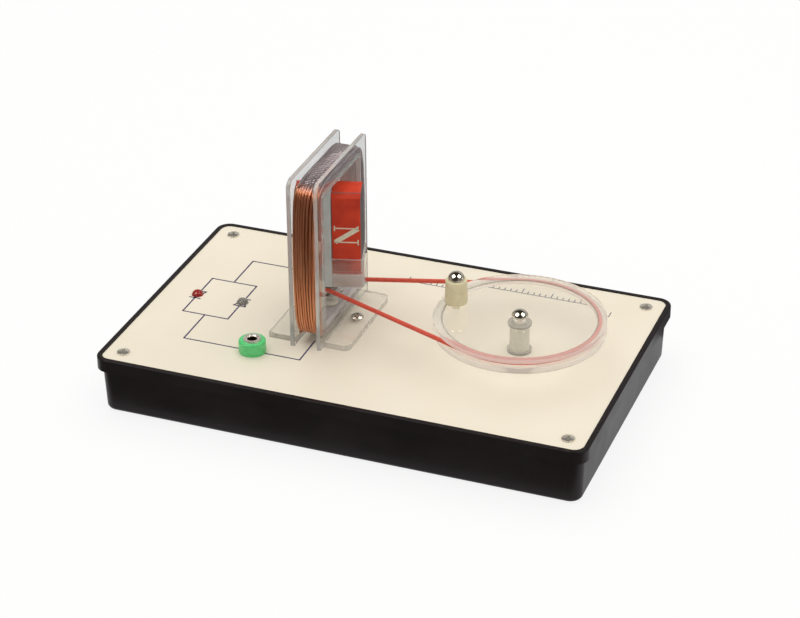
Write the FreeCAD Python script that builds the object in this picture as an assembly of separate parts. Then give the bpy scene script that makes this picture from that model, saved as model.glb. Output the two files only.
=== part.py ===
import FreeCAD, Part
import math
import os
from FreeCAD import Placement, Rotation, Vector

# Hand-turned demonstration generator, in millimetres, +Z up.  The origin is the middle of the
# underside of the base, +X runs along the long side and +Y away from the user.
# A magnet rotor turns inside an upright flat coil; a belt from a crank disc drives it.

# ---- base ----
BASE_LENGTH = 204.4
BASE_WIDTH = 125.8
BASE_HEIGHT = 24.6
BASE_CORNER_R = 6.0
RIM_HEIGHT = 5.4
RIM_OVERHANG = 1.9
WALL_DRAFT = 0.6
BASE_FLOOR = 2.5
PANEL_LEDGE = 2.3
BASE_EDGE_R = 2.0
RIM_EDGE_R = 0.6
BOSS_D = 10.5
BOSS_PILOT_D = 2.7
BOSS_PILOT_DEPTH = 12.0

# ---- top panel ----
PANEL_LENGTH = 200.0
PANEL_WIDTH = 121.7
PANEL_T = 2.0
PANEL_TOP = 24.1
PANEL_CORNER_R = 4.0
PANEL_GAP = 0.1
PANEL_SCREW_X = 92.7
PANEL_SCREW_Y = 53.6
PANEL_SCREW_HEAD_D = 5.2
PANEL_SCREW_HEAD_H = 1.1
PANEL_SCREW_D = 2.6
PANEL_SCREW_HOLE_D = 3.0
PANEL_SCREW_LENGTH = 10.0
PANEL_SCREW_TURN = 25.0

# ---- indicator diodes ----
LED_XS = {"red_led": -85.0, "clear_led": -64.6}
LED_Y = 0.0
LED_D = 5.0
LED_DOME_TOP = 26.2
LED_LENGTH = 8.6
LED_FLANGE_D = 5.8
LED_FLANGE_T = 1.0
LED_LEG_PITCH = 2.54
LED_LEG_D = 0.5
LED_LEG_END_Z = 11.0
LED_LINK_Z = 14.0
LED_LINK_D = 0.6

# ---- 4 mm sockets ----
SOCKET_X = -44.9
SOCKET_Y = 34.6
SOCKET_BORE_D = 4.0
SOCKET_BORE_DEPTH = 19.5
SOCKET_HEAD_D = 11.0
SOCKET_HEAD_TOP = 29.4
SOCKET_EDGE_R = 0.7
SOCKET_BARREL_D = 8.0
SOCKET_BARREL_END_Z = 12.0
SLEEVE_D = 6.2
SLEEVE_RING_D = 7.2
SLEEVE_EDGE_R = 0.25
SLEEVE_TOP = 30.2
SLEEVE_END_Z = 9.0
SOLDER_LUG_W = 2.6
SOLDER_LUG_T = 0.8
SOLDER_LUG_ROOT = 0.5
SOLDER_LUG_END_Z = 4.4
SOCKET_NUT_AF = 11.0
SOCKET_NUT_H = 2.8

# ---- coil on its clear bobbin ----
COIL_X = -25.75
COIL_Y = 0.3
CHEEK_T = 1.8
CHEEK_GAP = 9.5
CHEEK_WIDTH = 52.0
CHEEK_TOP = 97.5
CHEEK_CORNER_R = 3.0
WINDOW_WIDTH = 39.6
WINDOW_BOTTOM = 32.0
WINDOW_TOP = 90.0
WINDOW_CORNER_R = 1.0
FORMER_WALL = 1.4
WINDING_THICKNESS = 3.7
WINDING_BELLY = 2.2
WINDING_CROWN = 0.4
WINDING_CORNER_R = 4.0
WINDING_SIDE_GAP = 0.05
COIL_LEAD_D = 0.8
COIL_LEAD_HOLE_D = 1.4
COIL_LEAD_Y = 15.0
COIL_LEAD_X = -24.5
COIL_LEAD_END_Z = 14.0

# ---- feet of the bobbin ----
FOOT_LENGTH = 45.8
FOOT_REACH = 10.8
FOOT_T = 2.5
FOOT_CORNER_R = 3.0
FOOT_Y = 0.5
FOOT_SCREW_REACH = 5.2
FOOT_SCREW_Y = 1.1
FOOT_SCREW_HEAD_D = 5.2
FOOT_SCREW_HEAD_H = 1.7
FOOT_SCREW_D = 2.9
FOOT_SCREW_HOLE_D = 3.1
FOOT_SCREW_TURN = 40.0
FOOT_SCREW_END_Z = 17.5
FOOT_NUT_AF = 5.5
FOOT_NUT_H = 2.4

# ---- magnet rotor ----
ROTOR_REST_ANGLE = 16.8
SPINDLE_D = 3.0
SPINDLE_CLEARANCE = 0.05
BUSH_SPIGOT_D = 5.0
BUSH_FLANGE_D = 7.0
BUSH_FLANGE_T = 1.2
BUSH_BLIND = 0.4
MAGNET_WIDTH = 12.0
MAGNET_DEPTH = 14.0
MAGNET_BOTTOM = 50.0
MAGNET_TOP = 84.3
MAGNET_CHAMFER = 1.9
POST_WIDTH = 3.8
CUP_WALL = 1.0
CUP_BOTTOM = 49.0
CUP_TOP = 55.7
ROTOR_BASE_BOTTOM = 43.1
BLOCK_EDGE_R = 1.2

# ---- belt and pulleys ----
BELT_D = 1.8
BELT_Z = 40.3
BELT_CLEARANCE = 0.2
GROOVE_FLARE = 1.0
SMALL_BELT_R = 4.3
SMALL_PULLEY_D = 12.0
SMALL_PULLEY_T = 5.4
DISC_BELT_R = 31.5
DISC_D = 68.6
DISC_BOTTOM = 36.9
DISC_TOP = 43.1
DISC_X = 56.5
DISC_Y = -2.8

# ---- hub of the crank disc ----
HUB_FOOT_WASHER_D = 10.0
HUB_TOP_WASHER_D = 9.6
HUB_WASHER_T = 0.9
HUB_SPACER_D = 8.0
HUB_SPACER_TOP = 35.8
HUB_SLEEVE_D = 5.0
HUB_SCREW_D = 4.0
HUB_SCREW_HOLE_D = 4.2
HUB_SCREW_HEAD_D = 6.6
HUB_SCREW_HEAD_H = 2.6
END_PLAY = 0.2
HUB_SCREW_END_Z = 16.5
HUB_NUT_AF = 7.0
HUB_NUT_H = 3.2
RUNNING_CLEARANCE = 0.05

# ---- crank knob ----
KNOB_X = 29.4
KNOB_Y = -1.5
KNOB_TOP_D = 8.5
KNOB_FOOT_D = 9.3
KNOB_HEIGHT = 10.5
KNOB_EDGE_R = 0.4
KNOB_SCREW_D = 3.5
KNOB_SCREW_HEAD_D = 6.6
KNOB_SCREW_HEAD_H = 3.1
KNOB_SCREW_END_Z = 37.6

# ---- hook-up wires inside the base: bends as (along X, towards the middle in Y) ----
WIRE_D = 1.6
WIRE_Z = 6.0
WIRE_ARC_SHARE = 0.45
COIL_WIRE_BEND_1 = (1.0, 8.0)
COIL_WIRE_BEND_2 = (9.0, 4.0)
COIL_WIRE_RISE = 0.5
LED_WIRE_BEND_1 = (9.0, 2.0)
LED_WIRE_BEND_2 = (6.0, 14.0)
LED_WIRE_DROP = 0.8

DOME_EDGE = 0.5
THREAD_FIT = 0.02
RECESS_WIDTH = 0.8
RECESS_SHARE = 0.55
RECESS_DEPTH = 0.9

PANEL_BOTTOM = PANEL_TOP - PANEL_T
CHEEK_OUT_X = CHEEK_GAP / 2 + CHEEK_T
ROTOR_HALF_LENGTH = POST_WIDTH / 2 + MAGNET_WIDTH
UP = Vector(0, 0, 1)


def cylinder(x, y, z0, z1, d):
    return Part.makeCylinder(d / 2, z1 - z0, Vector(x, y, z0))


def tube(x, y, z0, z1, outer_d, bore_d):
    return cylinder(x, y, z0, z1, outer_d).cut(cylinder(x, y, z0 - 1, z1 + 1, bore_d))


def block(x0, x1, y0, y1, z0, z1):
    return Part.makeBox(x1 - x0, y1 - y0, z1 - z0, Vector(x0, y0, z0))


def rounded_outline(cx, cy, length, width, r, z):
    """Closed wire: a rectangle with rounded corners, lying flat at height z."""
    hx = length / 2
    hy = width / 2
    corners = [(cx + hx - r, cy + hy - r), (cx - hx + r, cy + hy - r),
               (cx - hx + r, cy - hy + r), (cx + hx - r, cy - hy + r)]
    edges = []
    last = Vector(cx + hx, cy - hy + r, z)
    for quarter, (x, y) in enumerate(corners):
        angles = [math.radians(90 * quarter + step) for step in (0, 45, 90)]
        start, middle, end = [Vector(x + r * math.cos(a), y + r * math.sin(a), z) for a in angles]
        edges.append(Part.LineSegment(last, start).toShape())
        edges.append(Part.Arc(start, middle, end).toShape())
        last = end
    return Part.Wire(edges)


def rounded_slab(cx, cy, length, width, r, z0, z1):
    outline = Part.Face(rounded_outline(cx, cy, length, width, r, z0))
    return outline.extrude(Vector(0, 0, z1 - z0))


def upright_slab(x0, x1, cy, width, z0, z1, r):
    """A slab that stands across X, with its four corners rounded."""
    slab = rounded_slab(cy, (z0 + z1) / 2, width, z1 - z0, r, 0, x1 - x0)
    slab.Placement = Placement(Vector(x0, 0, 0), Rotation(Vector(1, 1, 1), 120))
    return slab


def hexagon(x, y, z0, height, across_flats, bore_d):
    r = across_flats / math.sqrt(3)
    points = [Vector(x + r * math.cos(math.radians(60 * i)), y + r * math.sin(math.radians(60 * i)), z0)
              for i in range(6)]
    prism = Part.Face(Part.makePolygon(points + points[:1])).extrude(Vector(0, 0, height))
    return prism.cut(cylinder(x, y, z0 - 1, z0 + height + 1, bore_d))


def domed_head(x, y, z, d, height):
    """A round screw head: a short straight edge under a part of a sphere."""
    r = d / 2
    rise = height - DOME_EDGE
    ball_r = (r * r + rise * rise) / (2 * rise)
    tilt = math.asin(min(1.0, r / ball_r)) / 2
    ball_z = z + height - ball_r
    corner = Vector(x + r, y, z + DOME_EDGE)
    crown = Vector(x, y, z + height)
    shoulder = Vector(x + ball_r * math.sin(tilt), y, ball_z + ball_r * math.cos(tilt))
    foot = Vector(x, y, z)
    rim = Vector(x + r, y, z)
    edges = [Part.LineSegment(foot, rim).toShape(), Part.LineSegment(rim, corner).toShape(),
             Part.Arc(corner, shoulder, crown).toShape(), Part.LineSegment(crown, foot).toShape()]
    return Part.Face(Part.Wire(edges)).revolve(Vector(x, y, 0), UP, 360)


def dome_screw(x, y, seat_z, head_d, head_h, shank_d, end_z):
    """A plain domed screw, its shank shown at the thread's outside size."""
    shank = cylinder(x, y, end_z, seat_z + DOME_EDGE, shank_d)
    return domed_head(x, y, seat_z, head_d, head_h).fuse(shank)


def cross_screw(x, y, seat_z, head_d, head_h, shank_d, end_z, turn):
    """A domed screw with a cross recess."""
    screw = dome_screw(x, y, seat_z, head_d, head_h, shank_d, end_z)
    half = head_d * RECESS_SHARE / 2
    top = seat_z + head_h
    for angle in (turn, turn + 90):
        slot = block(x - half, x + half, y - RECESS_WIDTH / 2, y + RECESS_WIDTH / 2,
                     top - RECESS_DEPTH, top + 1)
        slot.rotate(Vector(x, y, 0), UP, angle)
        screw = screw.cut(slot)
    return screw


def soften(shape, r, wanted):
    return shape.makeFillet(r, [edge for edge in shape.Edges if wanted(edge)])


def at_height(z):
    return lambda edge: abs(edge.BoundBox.ZMin - z) < 0.01 and abs(edge.BoundBox.ZMax - z) < 0.01


def rotor_place(shape):
    """Turns a rotor piece, modelled along X at the origin, to the rotor's axis and rest angle."""
    place = Placement(Vector(COIL_X, COIL_Y, 0), Rotation(UP, ROTOR_REST_ANGLE))
    shape.Placement = place.multiply(shape.Placement)
    return shape


def grooved_wheel(x, y, z0, z1, d, belt_r):
    """A wheel with a rounded belt groove that opens out to its rim."""
    groove_r = BELT_D / 2 + BELT_CLEARANCE
    flare = math.radians(GROOVE_FLARE)
    shoulder_r = belt_r - groove_r * math.sin(flare)
    shoulder_z = groove_r * math.cos(flare)
    rim_r = d / 2 + 1
    rim_z = shoulder_z + (rim_r - shoulder_r) * math.tan(flare)
    upper_rim = Vector(x + rim_r, y, BELT_Z + rim_z)
    upper = Vector(x + shoulder_r, y, BELT_Z + shoulder_z)
    bottom = Vector(x + belt_r - groove_r, y, BELT_Z)
    lower = Vector(x + shoulder_r, y, BELT_Z - shoulder_z)
    lower_rim = Vector(x + rim_r, y, BELT_Z - rim_z)
    edges = [Part.LineSegment(upper_rim, upper).toShape(), Part.Arc(upper, bottom, lower).toShape(),
             Part.LineSegment(lower, lower_rim).toShape(), Part.LineSegment(lower_rim, upper_rim).toShape()]
    groove = Part.Face(Part.Wire(edges)).revolve(Vector(x, y, 0), UP, 360)
    return cylinder(x, y, z0, z1, d).cut(groove)


def wire_run(points, d):
    """A round wire through the points: straight runs joined by tangent arcs."""
    points = [Vector(*p) for p in points]
    edges = []
    start = points[0]
    for before, corner, after in zip(points, points[1:], points[2:]):
        way_in = (corner - before).normalize()
        way_out = (after - corner).normalize()
        half_turn = way_in.getAngle(way_out) / 2
        setback = WIRE_ARC_SHARE * min((corner - before).Length, (after - corner).Length)
        arc_r = setback / math.tan(half_turn)
        inward = (way_out - way_in).normalize()
        centre = corner + inward * (arc_r / math.cos(half_turn))
        arc_start = corner - way_in * setback
        arc_end = corner + way_out * setback
        edges.append(Part.LineSegment(start, arc_start).toShape())
        edges.append(Part.Arc(arc_start, centre - inward * arc_r, arc_end).toShape())
        start = arc_end
        print("  wire bend radius %.1f mm" % arc_r)
    edges.append(Part.LineSegment(start, points[-1]).toShape())
    path = Part.Wire(edges)
    section = Part.Wire(Part.makeCircle(d / 2, points[0], points[1] - points[0]))
    solid = path.makePipeShell([section], True, True)
    plain_volume = math.pi * d * d / 4 * path.Length
    print("  wire volume over section x length: %.4f" % (solid.Volume / plain_volume))
    return solid


def export(node, *solids):
    shape = solids[0] if len(solids) == 1 else Part.makeCompound(list(solids))
    for solid in shape.Solids:
        if not solid.isValid():
            print("NOT VALID:", node)
    shape.exportStep("parts/" + node + ".step")
    box = shape.BoundBox
    print("%-20s %d solids  z %.2f to %.2f  volume %.1f" %
          (node, len(shape.Solids), box.ZMin, box.ZMax, shape.Volume))


def base_tray():
    wall_length = BASE_LENGTH - 2 * RIM_OVERHANG
    wall_width = BASE_WIDTH - 2 * RIM_OVERHANG
    skirt_z = BASE_HEIGHT - RIM_HEIGHT
    foot = rounded_outline(0, 0, wall_length - 2 * WALL_DRAFT, wall_width - 2 * WALL_DRAFT,
                           BASE_CORNER_R - 1, 0)
    shoulder = rounded_outline(0, 0, wall_length, wall_width, BASE_CORNER_R - 1, skirt_z)
    walls = Part.makeLoft([foot, shoulder], True, True)
    walls = soften(walls, BASE_EDGE_R, at_height(0))
    rim = rounded_slab(0, 0, BASE_LENGTH, BASE_WIDTH, BASE_CORNER_R, skirt_z, BASE_HEIGHT)
    rim = soften(rim, RIM_EDGE_R, at_height(BASE_HEIGHT))
    tray = walls.fuse(rim)
    recess_length = PANEL_LENGTH + 2 * PANEL_GAP
    recess_width = PANEL_WIDTH + 2 * PANEL_GAP
    tray = tray.cut(rounded_slab(0, 0, recess_length, recess_width, PANEL_CORNER_R + PANEL_GAP,
                                 PANEL_BOTTOM, BASE_HEIGHT + 1))
    tray = tray.cut(rounded_slab(0, 0, recess_length - 2 * PANEL_LEDGE, recess_width - 2 * PANEL_LEDGE,
                                 PANEL_CORNER_R - 1, BASE_FLOOR, PANEL_BOTTOM + 1))
    for x, y in panel_screw_places():
        tray = tray.fuse(cylinder(x, y, BASE_FLOOR - 1, PANEL_BOTTOM, BOSS_D))
    for x, y in panel_screw_places():
        tray = tray.cut(cylinder(x, y, PANEL_BOTTOM - BOSS_PILOT_DEPTH, PANEL_BOTTOM + 1, BOSS_PILOT_D))
    export("base_tray", tray.removeSplitter())


def panel_screw_places():
    return [(sx * PANEL_SCREW_X, sy * PANEL_SCREW_Y) for sx in (-1, 1) for sy in (-1, 1)]


def foot_screw_places():
    reach = CHEEK_OUT_X + FOOT_SCREW_REACH
    return [(COIL_X - reach, FOOT_SCREW_Y), (COIL_X + reach, FOOT_SCREW_Y)]


def socket_places():
    return {"front": (SOCKET_X, -SOCKET_Y), "rear": (SOCKET_X, SOCKET_Y)}


def top_panel():
    panel = rounded_slab(0, 0, PANEL_LENGTH, PANEL_WIDTH, PANEL_CORNER_R, PANEL_BOTTOM, PANEL_TOP)
    holes = [(x, y, PANEL_SCREW_HOLE_D) for x, y in panel_screw_places()]
    holes += [(x, LED_Y, LED_D) for x in LED_XS.values()]
    holes += [(x, y, SOCKET_BARREL_D) for x, y in socket_places().values()]
    holes += [(x, y, FOOT_SCREW_HOLE_D) for x, y in foot_screw_places()]
    holes += [(COIL_LEAD_X, COIL_Y + side * COIL_LEAD_Y, COIL_LEAD_HOLE_D) for side in (-1, 1)]
    holes.append((DISC_X, DISC_Y, HUB_SCREW_HOLE_D))
    for x, y, d in holes:
        panel = panel.cut(cylinder(x, y, PANEL_BOTTOM - 1, PANEL_TOP + 1, d))
    export("top_panel", panel)


def panel_screws():
    screws = []
    for index, (x, y) in enumerate(panel_screw_places()):
        screws.append(cross_screw(x, y, PANEL_TOP, PANEL_SCREW_HEAD_D, PANEL_SCREW_HEAD_H, PANEL_SCREW_D,
                                  PANEL_TOP - PANEL_SCREW_LENGTH, PANEL_SCREW_TURN * index))
    export("panel_screws", *screws)


def diodes():
    flange_z = LED_DOME_TOP - LED_LENGTH
    legs = []
    for node, x in LED_XS.items():
        body = cylinder(x, LED_Y, flange_z, LED_DOME_TOP - LED_D / 2, LED_D)
        body = body.fuse(cylinder(x, LED_Y, flange_z, flange_z + LED_FLANGE_T, LED_FLANGE_D))
        dome = Part.makeSphere(LED_D / 2, Vector(x, LED_Y, LED_DOME_TOP - LED_D / 2))
        export(node, body.fuse(dome).removeSplitter())
        for side in (-1, 1):
            leg_y = LED_Y + side * LED_LEG_PITCH / 2
            legs.append(cylinder(x, leg_y, LED_LEG_END_Z, flange_z, LED_LEG_D))
    export("led_legs", *legs)
    links = []
    for side in (-1, 1):
        start = Vector(LED_XS["red_led"] + LED_LEG_D / 2, LED_Y + side * LED_LEG_PITCH / 2, LED_LINK_Z)
        length = LED_XS["clear_led"] - LED_XS["red_led"] - LED_LEG_D
        links.append(Part.makeCylinder(LED_LINK_D / 2, length, start, Vector(1, 0, 0)))
    export("led_links", *links)


def sockets():
    nuts = []
    for side, (x, y) in socket_places().items():
        head = cylinder(x, y, PANEL_TOP, SOCKET_HEAD_TOP, SOCKET_HEAD_D)
        head = soften(head, SOCKET_EDGE_R, at_height(SOCKET_HEAD_TOP))
        body = head.fuse(cylinder(x, y, SOCKET_BARREL_END_Z, PANEL_TOP + 1, SOCKET_BARREL_D))
        body = body.cut(cylinder(x, y, SOCKET_BARREL_END_Z - 1, SOCKET_HEAD_TOP + 1, SLEEVE_D))
        export(side + "_socket_body", body)
        sleeve = cylinder(x, y, SLEEVE_END_Z, SLEEVE_TOP, SLEEVE_D)
        ring = cylinder(x, y, SOCKET_HEAD_TOP, SLEEVE_TOP, SLEEVE_RING_D)
        sleeve = sleeve.fuse(soften(ring, SLEEVE_EDGE_R, at_height(SLEEVE_TOP)))
        sleeve = sleeve.cut(cylinder(x, y, SLEEVE_TOP - SOCKET_BORE_DEPTH, SLEEVE_TOP + 1, SOCKET_BORE_D))
        lug = block(x - SOLDER_LUG_W / 2, x + SOLDER_LUG_W / 2, y - SOLDER_LUG_T / 2, y + SOLDER_LUG_T / 2,
                    SOLDER_LUG_END_Z, SLEEVE_END_Z + SOLDER_LUG_ROOT)
        export(side + "_socket_sleeve", sleeve.fuse(lug))
        nuts.append(hexagon(x, y, PANEL_BOTTOM - SOCKET_NUT_H, SOCKET_NUT_H, SOCKET_NUT_AF,
                            SOCKET_BARREL_D))
    export("socket_nuts", *nuts)


def bobbin():
    for node, side in (("left_cheek", -1), ("right_cheek", 1)):
        inner = COIL_X + side * CHEEK_GAP / 2
        outer = COIL_X + side * CHEEK_OUT_X
        x0 = min(inner, outer)
        cheek = block(x0, x0 + CHEEK_T, COIL_Y - CHEEK_WIDTH / 2, COIL_Y + CHEEK_WIDTH / 2,
                      PANEL_TOP, CHEEK_TOP)
        upper = [edge for edge in cheek.Edges
                 if edge.BoundBox.ZMin > CHEEK_TOP - 0.01 and edge.BoundBox.XLength > CHEEK_T / 2]
        cheek = cheek.makeFillet(CHEEK_CORNER_R, upper)
        cheek = cheek.cut(upright_slab(x0 - 1, x0 + CHEEK_T + 1, COIL_Y, WINDOW_WIDTH,
                                       WINDOW_BOTTOM, WINDOW_TOP, WINDOW_CORNER_R))
        export(node, cheek)
    x0 = COIL_X - CHEEK_GAP / 2
    x1 = COIL_X + CHEEK_GAP / 2
    former = upright_slab(x0, x1, COIL_Y, WINDOW_WIDTH + 2 * FORMER_WALL, WINDOW_BOTTOM - FORMER_WALL,
                          WINDOW_TOP + FORMER_WALL, WINDOW_CORNER_R + FORMER_WALL)
    former = former.cut(upright_slab(x0 - 1, x1 + 1, COIL_Y, WINDOW_WIDTH, WINDOW_BOTTOM, WINDOW_TOP,
                                     WINDOW_CORNER_R))
    for z in (WINDOW_BOTTOM - FORMER_WALL / 2, WINDOW_TOP + FORMER_WALL / 2):
        former = former.cut(cylinder(COIL_X, COIL_Y, z - FORMER_WALL, z + FORMER_WALL, BUSH_SPIGOT_D))
    export("coil_former", former)


def winding_outline(x):
    """Outside of the winding: the long sides belly out, the corners are round."""
    half = WINDOW_WIDTH / 2 + FORMER_WALL + WINDING_THICKNESS
    low = WINDOW_BOTTOM - FORMER_WALL - WINDING_THICKNESS
    high = WINDOW_TOP + FORMER_WALL + WINDING_THICKNESS
    r = WINDING_CORNER_R
    mid_z = (low + high) / 2
    inset = r * (1 - math.sqrt(0.5))

    def arc(a, b, c):
        return Part.Arc(*[Vector(x, COIL_Y + y, z) for y, z in (a, b, c)]).toShape()

    edges = [arc((half, low + r), (half + WINDING_BELLY, mid_z), (half, high - r)),
             arc((half, high - r), (half - inset, high - inset), (half - r, high)),
             arc((half - r, high), (0, high + WINDING_CROWN), (-half + r, high)),
             arc((-half + r, high), (-half + inset, high - inset), (-half, high - r)),
             arc((-half, high - r), (-half - WINDING_BELLY, mid_z), (-half, low + r)),
             arc((-half, low + r), (-half + inset, low + inset), (-half + r, low)),
             arc((-half + r, low), (0, low - WINDING_CROWN), (half - r, low)),
             arc((half - r, low), (half - inset, low + inset), (half, low + r))]
    return Part.Wire(edges)


def winding():
    x0 = COIL_X - CHEEK_GAP / 2 + WINDING_SIDE_GAP
    x1 = COIL_X + CHEEK_GAP / 2 - WINDING_SIDE_GAP
    coil = Part.Face(winding_outline(x0)).extrude(Vector(x1 - x0, 0, 0))
    coil = coil.cut(upright_slab(x0 - 1, x1 + 1, COIL_Y, WINDOW_WIDTH + 2 * FORMER_WALL,
                                 WINDOW_BOTTOM - FORMER_WALL, WINDOW_TOP + FORMER_WALL,
                                 WINDOW_CORNER_R + FORMER_WALL))
    export("coil_winding", coil)
    lead_top = WINDOW_BOTTOM - FORMER_WALL - WINDING_THICKNESS
    leads = [cylinder(COIL_LEAD_X, COIL_Y + side * COIL_LEAD_Y, COIL_LEAD_END_Z, lead_top, COIL_LEAD_D)
             for side in (-1, 1)]
    export("coil_leads", *[lead.cut(coil) for lead in leads])


def feet():
    for node, side in (("left_foot", -1), ("right_foot", 1)):
        cx = COIL_X + side * (CHEEK_OUT_X + FOOT_REACH / 2)
        foot = block(cx - FOOT_REACH / 2, cx + FOOT_REACH / 2, FOOT_Y - FOOT_LENGTH / 2,
                     FOOT_Y + FOOT_LENGTH / 2, PANEL_TOP, PANEL_TOP + FOOT_T)
        outer_x = cx + side * FOOT_REACH / 2
        corners = [edge for edge in foot.Edges
                   if edge.BoundBox.ZLength > FOOT_T / 2 and abs(edge.BoundBox.Center.x - outer_x) < 0.01]
        corners.sort(key=lambda edge: edge.BoundBox.Center.y)
        foot = foot.makeFillet(FOOT_CORNER_R, corners[1:] if node == "left_foot" else corners)
        hole_x = COIL_X + side * (CHEEK_OUT_X + FOOT_SCREW_REACH)
        hole = cylinder(hole_x, FOOT_SCREW_Y, PANEL_TOP - 1, PANEL_TOP + FOOT_T + 1, FOOT_SCREW_HOLE_D)
        foot = foot.cut(hole)
        export(node, foot)
    screws = []
    nuts = []
    for index, (x, y) in enumerate(foot_screw_places()):
        screws.append(cross_screw(x, y, PANEL_TOP + FOOT_T, FOOT_SCREW_HEAD_D, FOOT_SCREW_HEAD_H,
                                  FOOT_SCREW_D, FOOT_SCREW_END_Z, FOOT_SCREW_TURN * index))
        nuts.append(hexagon(x, y, PANEL_BOTTOM - FOOT_NUT_H, FOOT_NUT_H, FOOT_NUT_AF,
                            FOOT_SCREW_D + 2 * THREAD_FIT))
    export("foot_screws", *screws)
    export("foot_nuts", *nuts)


def spindle_bushes():
    bore_d = SPINDLE_D + 2 * SPINDLE_CLEARANCE
    low_face = WINDOW_BOTTOM - FORMER_WALL
    low_flange = WINDOW_BOTTOM + BUSH_FLANGE_T
    lower = cylinder(COIL_X, COIL_Y, low_face, low_flange, BUSH_SPIGOT_D)
    lower = lower.fuse(cylinder(COIL_X, COIL_Y, WINDOW_BOTTOM, low_flange, BUSH_FLANGE_D))
    lower = lower.cut(cylinder(COIL_X, COIL_Y, low_face + BUSH_BLIND, low_flange + 1, bore_d))
    export("lower_bush", lower)
    high_face = WINDOW_TOP + FORMER_WALL
    high_flange = WINDOW_TOP - BUSH_FLANGE_T
    upper = cylinder(COIL_X, COIL_Y, high_flange, high_face, BUSH_SPIGOT_D)
    upper = upper.fuse(cylinder(COIL_X, COIL_Y, high_flange, WINDOW_TOP, BUSH_FLANGE_D))
    upper = upper.cut(cylinder(COIL_X, COIL_Y, high_flange - 1, high_face - BUSH_BLIND, bore_d))
    export("upper_bush", upper)


def rotor():
    spindle_low = WINDOW_BOTTOM - FORMER_WALL + BUSH_BLIND + SPINDLE_CLEARANCE
    spindle_high = WINDOW_TOP + FORMER_WALL - BUSH_BLIND - SPINDLE_CLEARANCE
    export("rotor_spindle", cylinder(COIL_X, COIL_Y, spindle_low, spindle_high, SPINDLE_D))
    pulley_low = BELT_Z - SMALL_PULLEY_T / 2
    pulley_high = BELT_Z + SMALL_PULLEY_T / 2
    pulley = grooved_wheel(COIL_X, COIL_Y, pulley_low, pulley_high, SMALL_PULLEY_D, SMALL_BELT_R)
    pulley = pulley.fuse(cylinder(COIL_X, COIL_Y, pulley_high - 1, ROTOR_BASE_BOTTOM, BUSH_FLANGE_D))
    pulley = pulley.cut(cylinder(COIL_X, COIL_Y, pulley_low - 1, ROTOR_BASE_BOTTOM + 1, SPINDLE_D))
    export("rotor_pulley", pulley)

    half_depth = MAGNET_DEPTH / 2
    cup_length = 2 * (ROTOR_HALF_LENGTH + CUP_WALL)
    cup_width = MAGNET_DEPTH + 2 * CUP_WALL
    base = rounded_slab(0, 0, cup_length, cup_width, BLOCK_EDGE_R, ROTOR_BASE_BOTTOM, CUP_BOTTOM)
    post = block(-POST_WIDTH / 2, POST_WIDTH / 2, -cup_width / 2, cup_width / 2,
                 ROTOR_BASE_BOTTOM, MAGNET_TOP)
    export("rotor_base", rotor_place(base.cut(post)))
    cup = rounded_slab(0, 0, cup_length, cup_width, BLOCK_EDGE_R, CUP_BOTTOM, CUP_TOP)
    cup = cup.cut(block(-ROTOR_HALF_LENGTH, ROTOR_HALF_LENGTH, -half_depth, half_depth,
                        MAGNET_BOTTOM, CUP_TOP + 1))
    export("magnet_cup", rotor_place(cup.cut(post)))
    spindle_hole = cylinder(0, 0, ROTOR_BASE_BOTTOM - 1, MAGNET_TOP + 1, SPINDLE_D)
    export("centre_post", rotor_place(post.cut(spindle_hole)))
    for node, side in (("north_magnet", 1), ("south_magnet", -1)):
        inner = side * POST_WIDTH / 2
        outer = side * ROTOR_HALF_LENGTH
        magnet = block(min(inner, outer), max(inner, outer), -half_depth, half_depth,
                       MAGNET_BOTTOM, MAGNET_TOP)
        top_edges = [edge for edge in magnet.Edges if edge.BoundBox.ZMin > MAGNET_TOP - 0.01]
        long_edges = [edge for edge in top_edges if edge.BoundBox.XLength > MAGNET_WIDTH / 2]
        export(node, rotor_place(magnet.makeChamfer(MAGNET_CHAMFER, long_edges)))


def crank_disc():
    disc = grooved_wheel(DISC_X, DISC_Y, DISC_BOTTOM, DISC_TOP, DISC_D, DISC_BELT_R)
    bore_d = HUB_SLEEVE_D + 2 * RUNNING_CLEARANCE
    disc = disc.cut(cylinder(DISC_X, DISC_Y, DISC_BOTTOM - 1, DISC_TOP + 1, bore_d))
    disc = disc.cut(cylinder(KNOB_X, KNOB_Y, KNOB_SCREW_END_Z, DISC_TOP + 1, KNOB_SCREW_D))
    export("crank_disc", disc)


def hub():
    """Screw, nylon sleeve, spacer and washers clamp to the panel; the disc turns on the sleeve."""
    bore_d = HUB_SCREW_D + 2 * THREAD_FIT
    foot_washer_top = PANEL_TOP + HUB_WASHER_T
    top_washer_top = HUB_SPACER_TOP + HUB_WASHER_T
    head_seat = DISC_TOP + END_PLAY
    stack = [("hub_foot_washer", PANEL_TOP, foot_washer_top, HUB_FOOT_WASHER_D),
             ("hub_spacer", foot_washer_top, HUB_SPACER_TOP, HUB_SPACER_D),
             ("hub_top_washer", HUB_SPACER_TOP, top_washer_top, HUB_TOP_WASHER_D),
             ("hub_sleeve", top_washer_top, head_seat, HUB_SLEEVE_D)]
    for node, z0, z1, outer_d in stack:
        export(node, tube(DISC_X, DISC_Y, z0, z1, outer_d, bore_d))
    export("hub_screw", dome_screw(DISC_X, DISC_Y, head_seat, HUB_SCREW_HEAD_D, HUB_SCREW_HEAD_H,
                                   HUB_SCREW_D, HUB_SCREW_END_Z))
    export("hub_nut", hexagon(DISC_X, DISC_Y, PANEL_BOTTOM - HUB_NUT_H, HUB_NUT_H, HUB_NUT_AF, bore_d))


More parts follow.
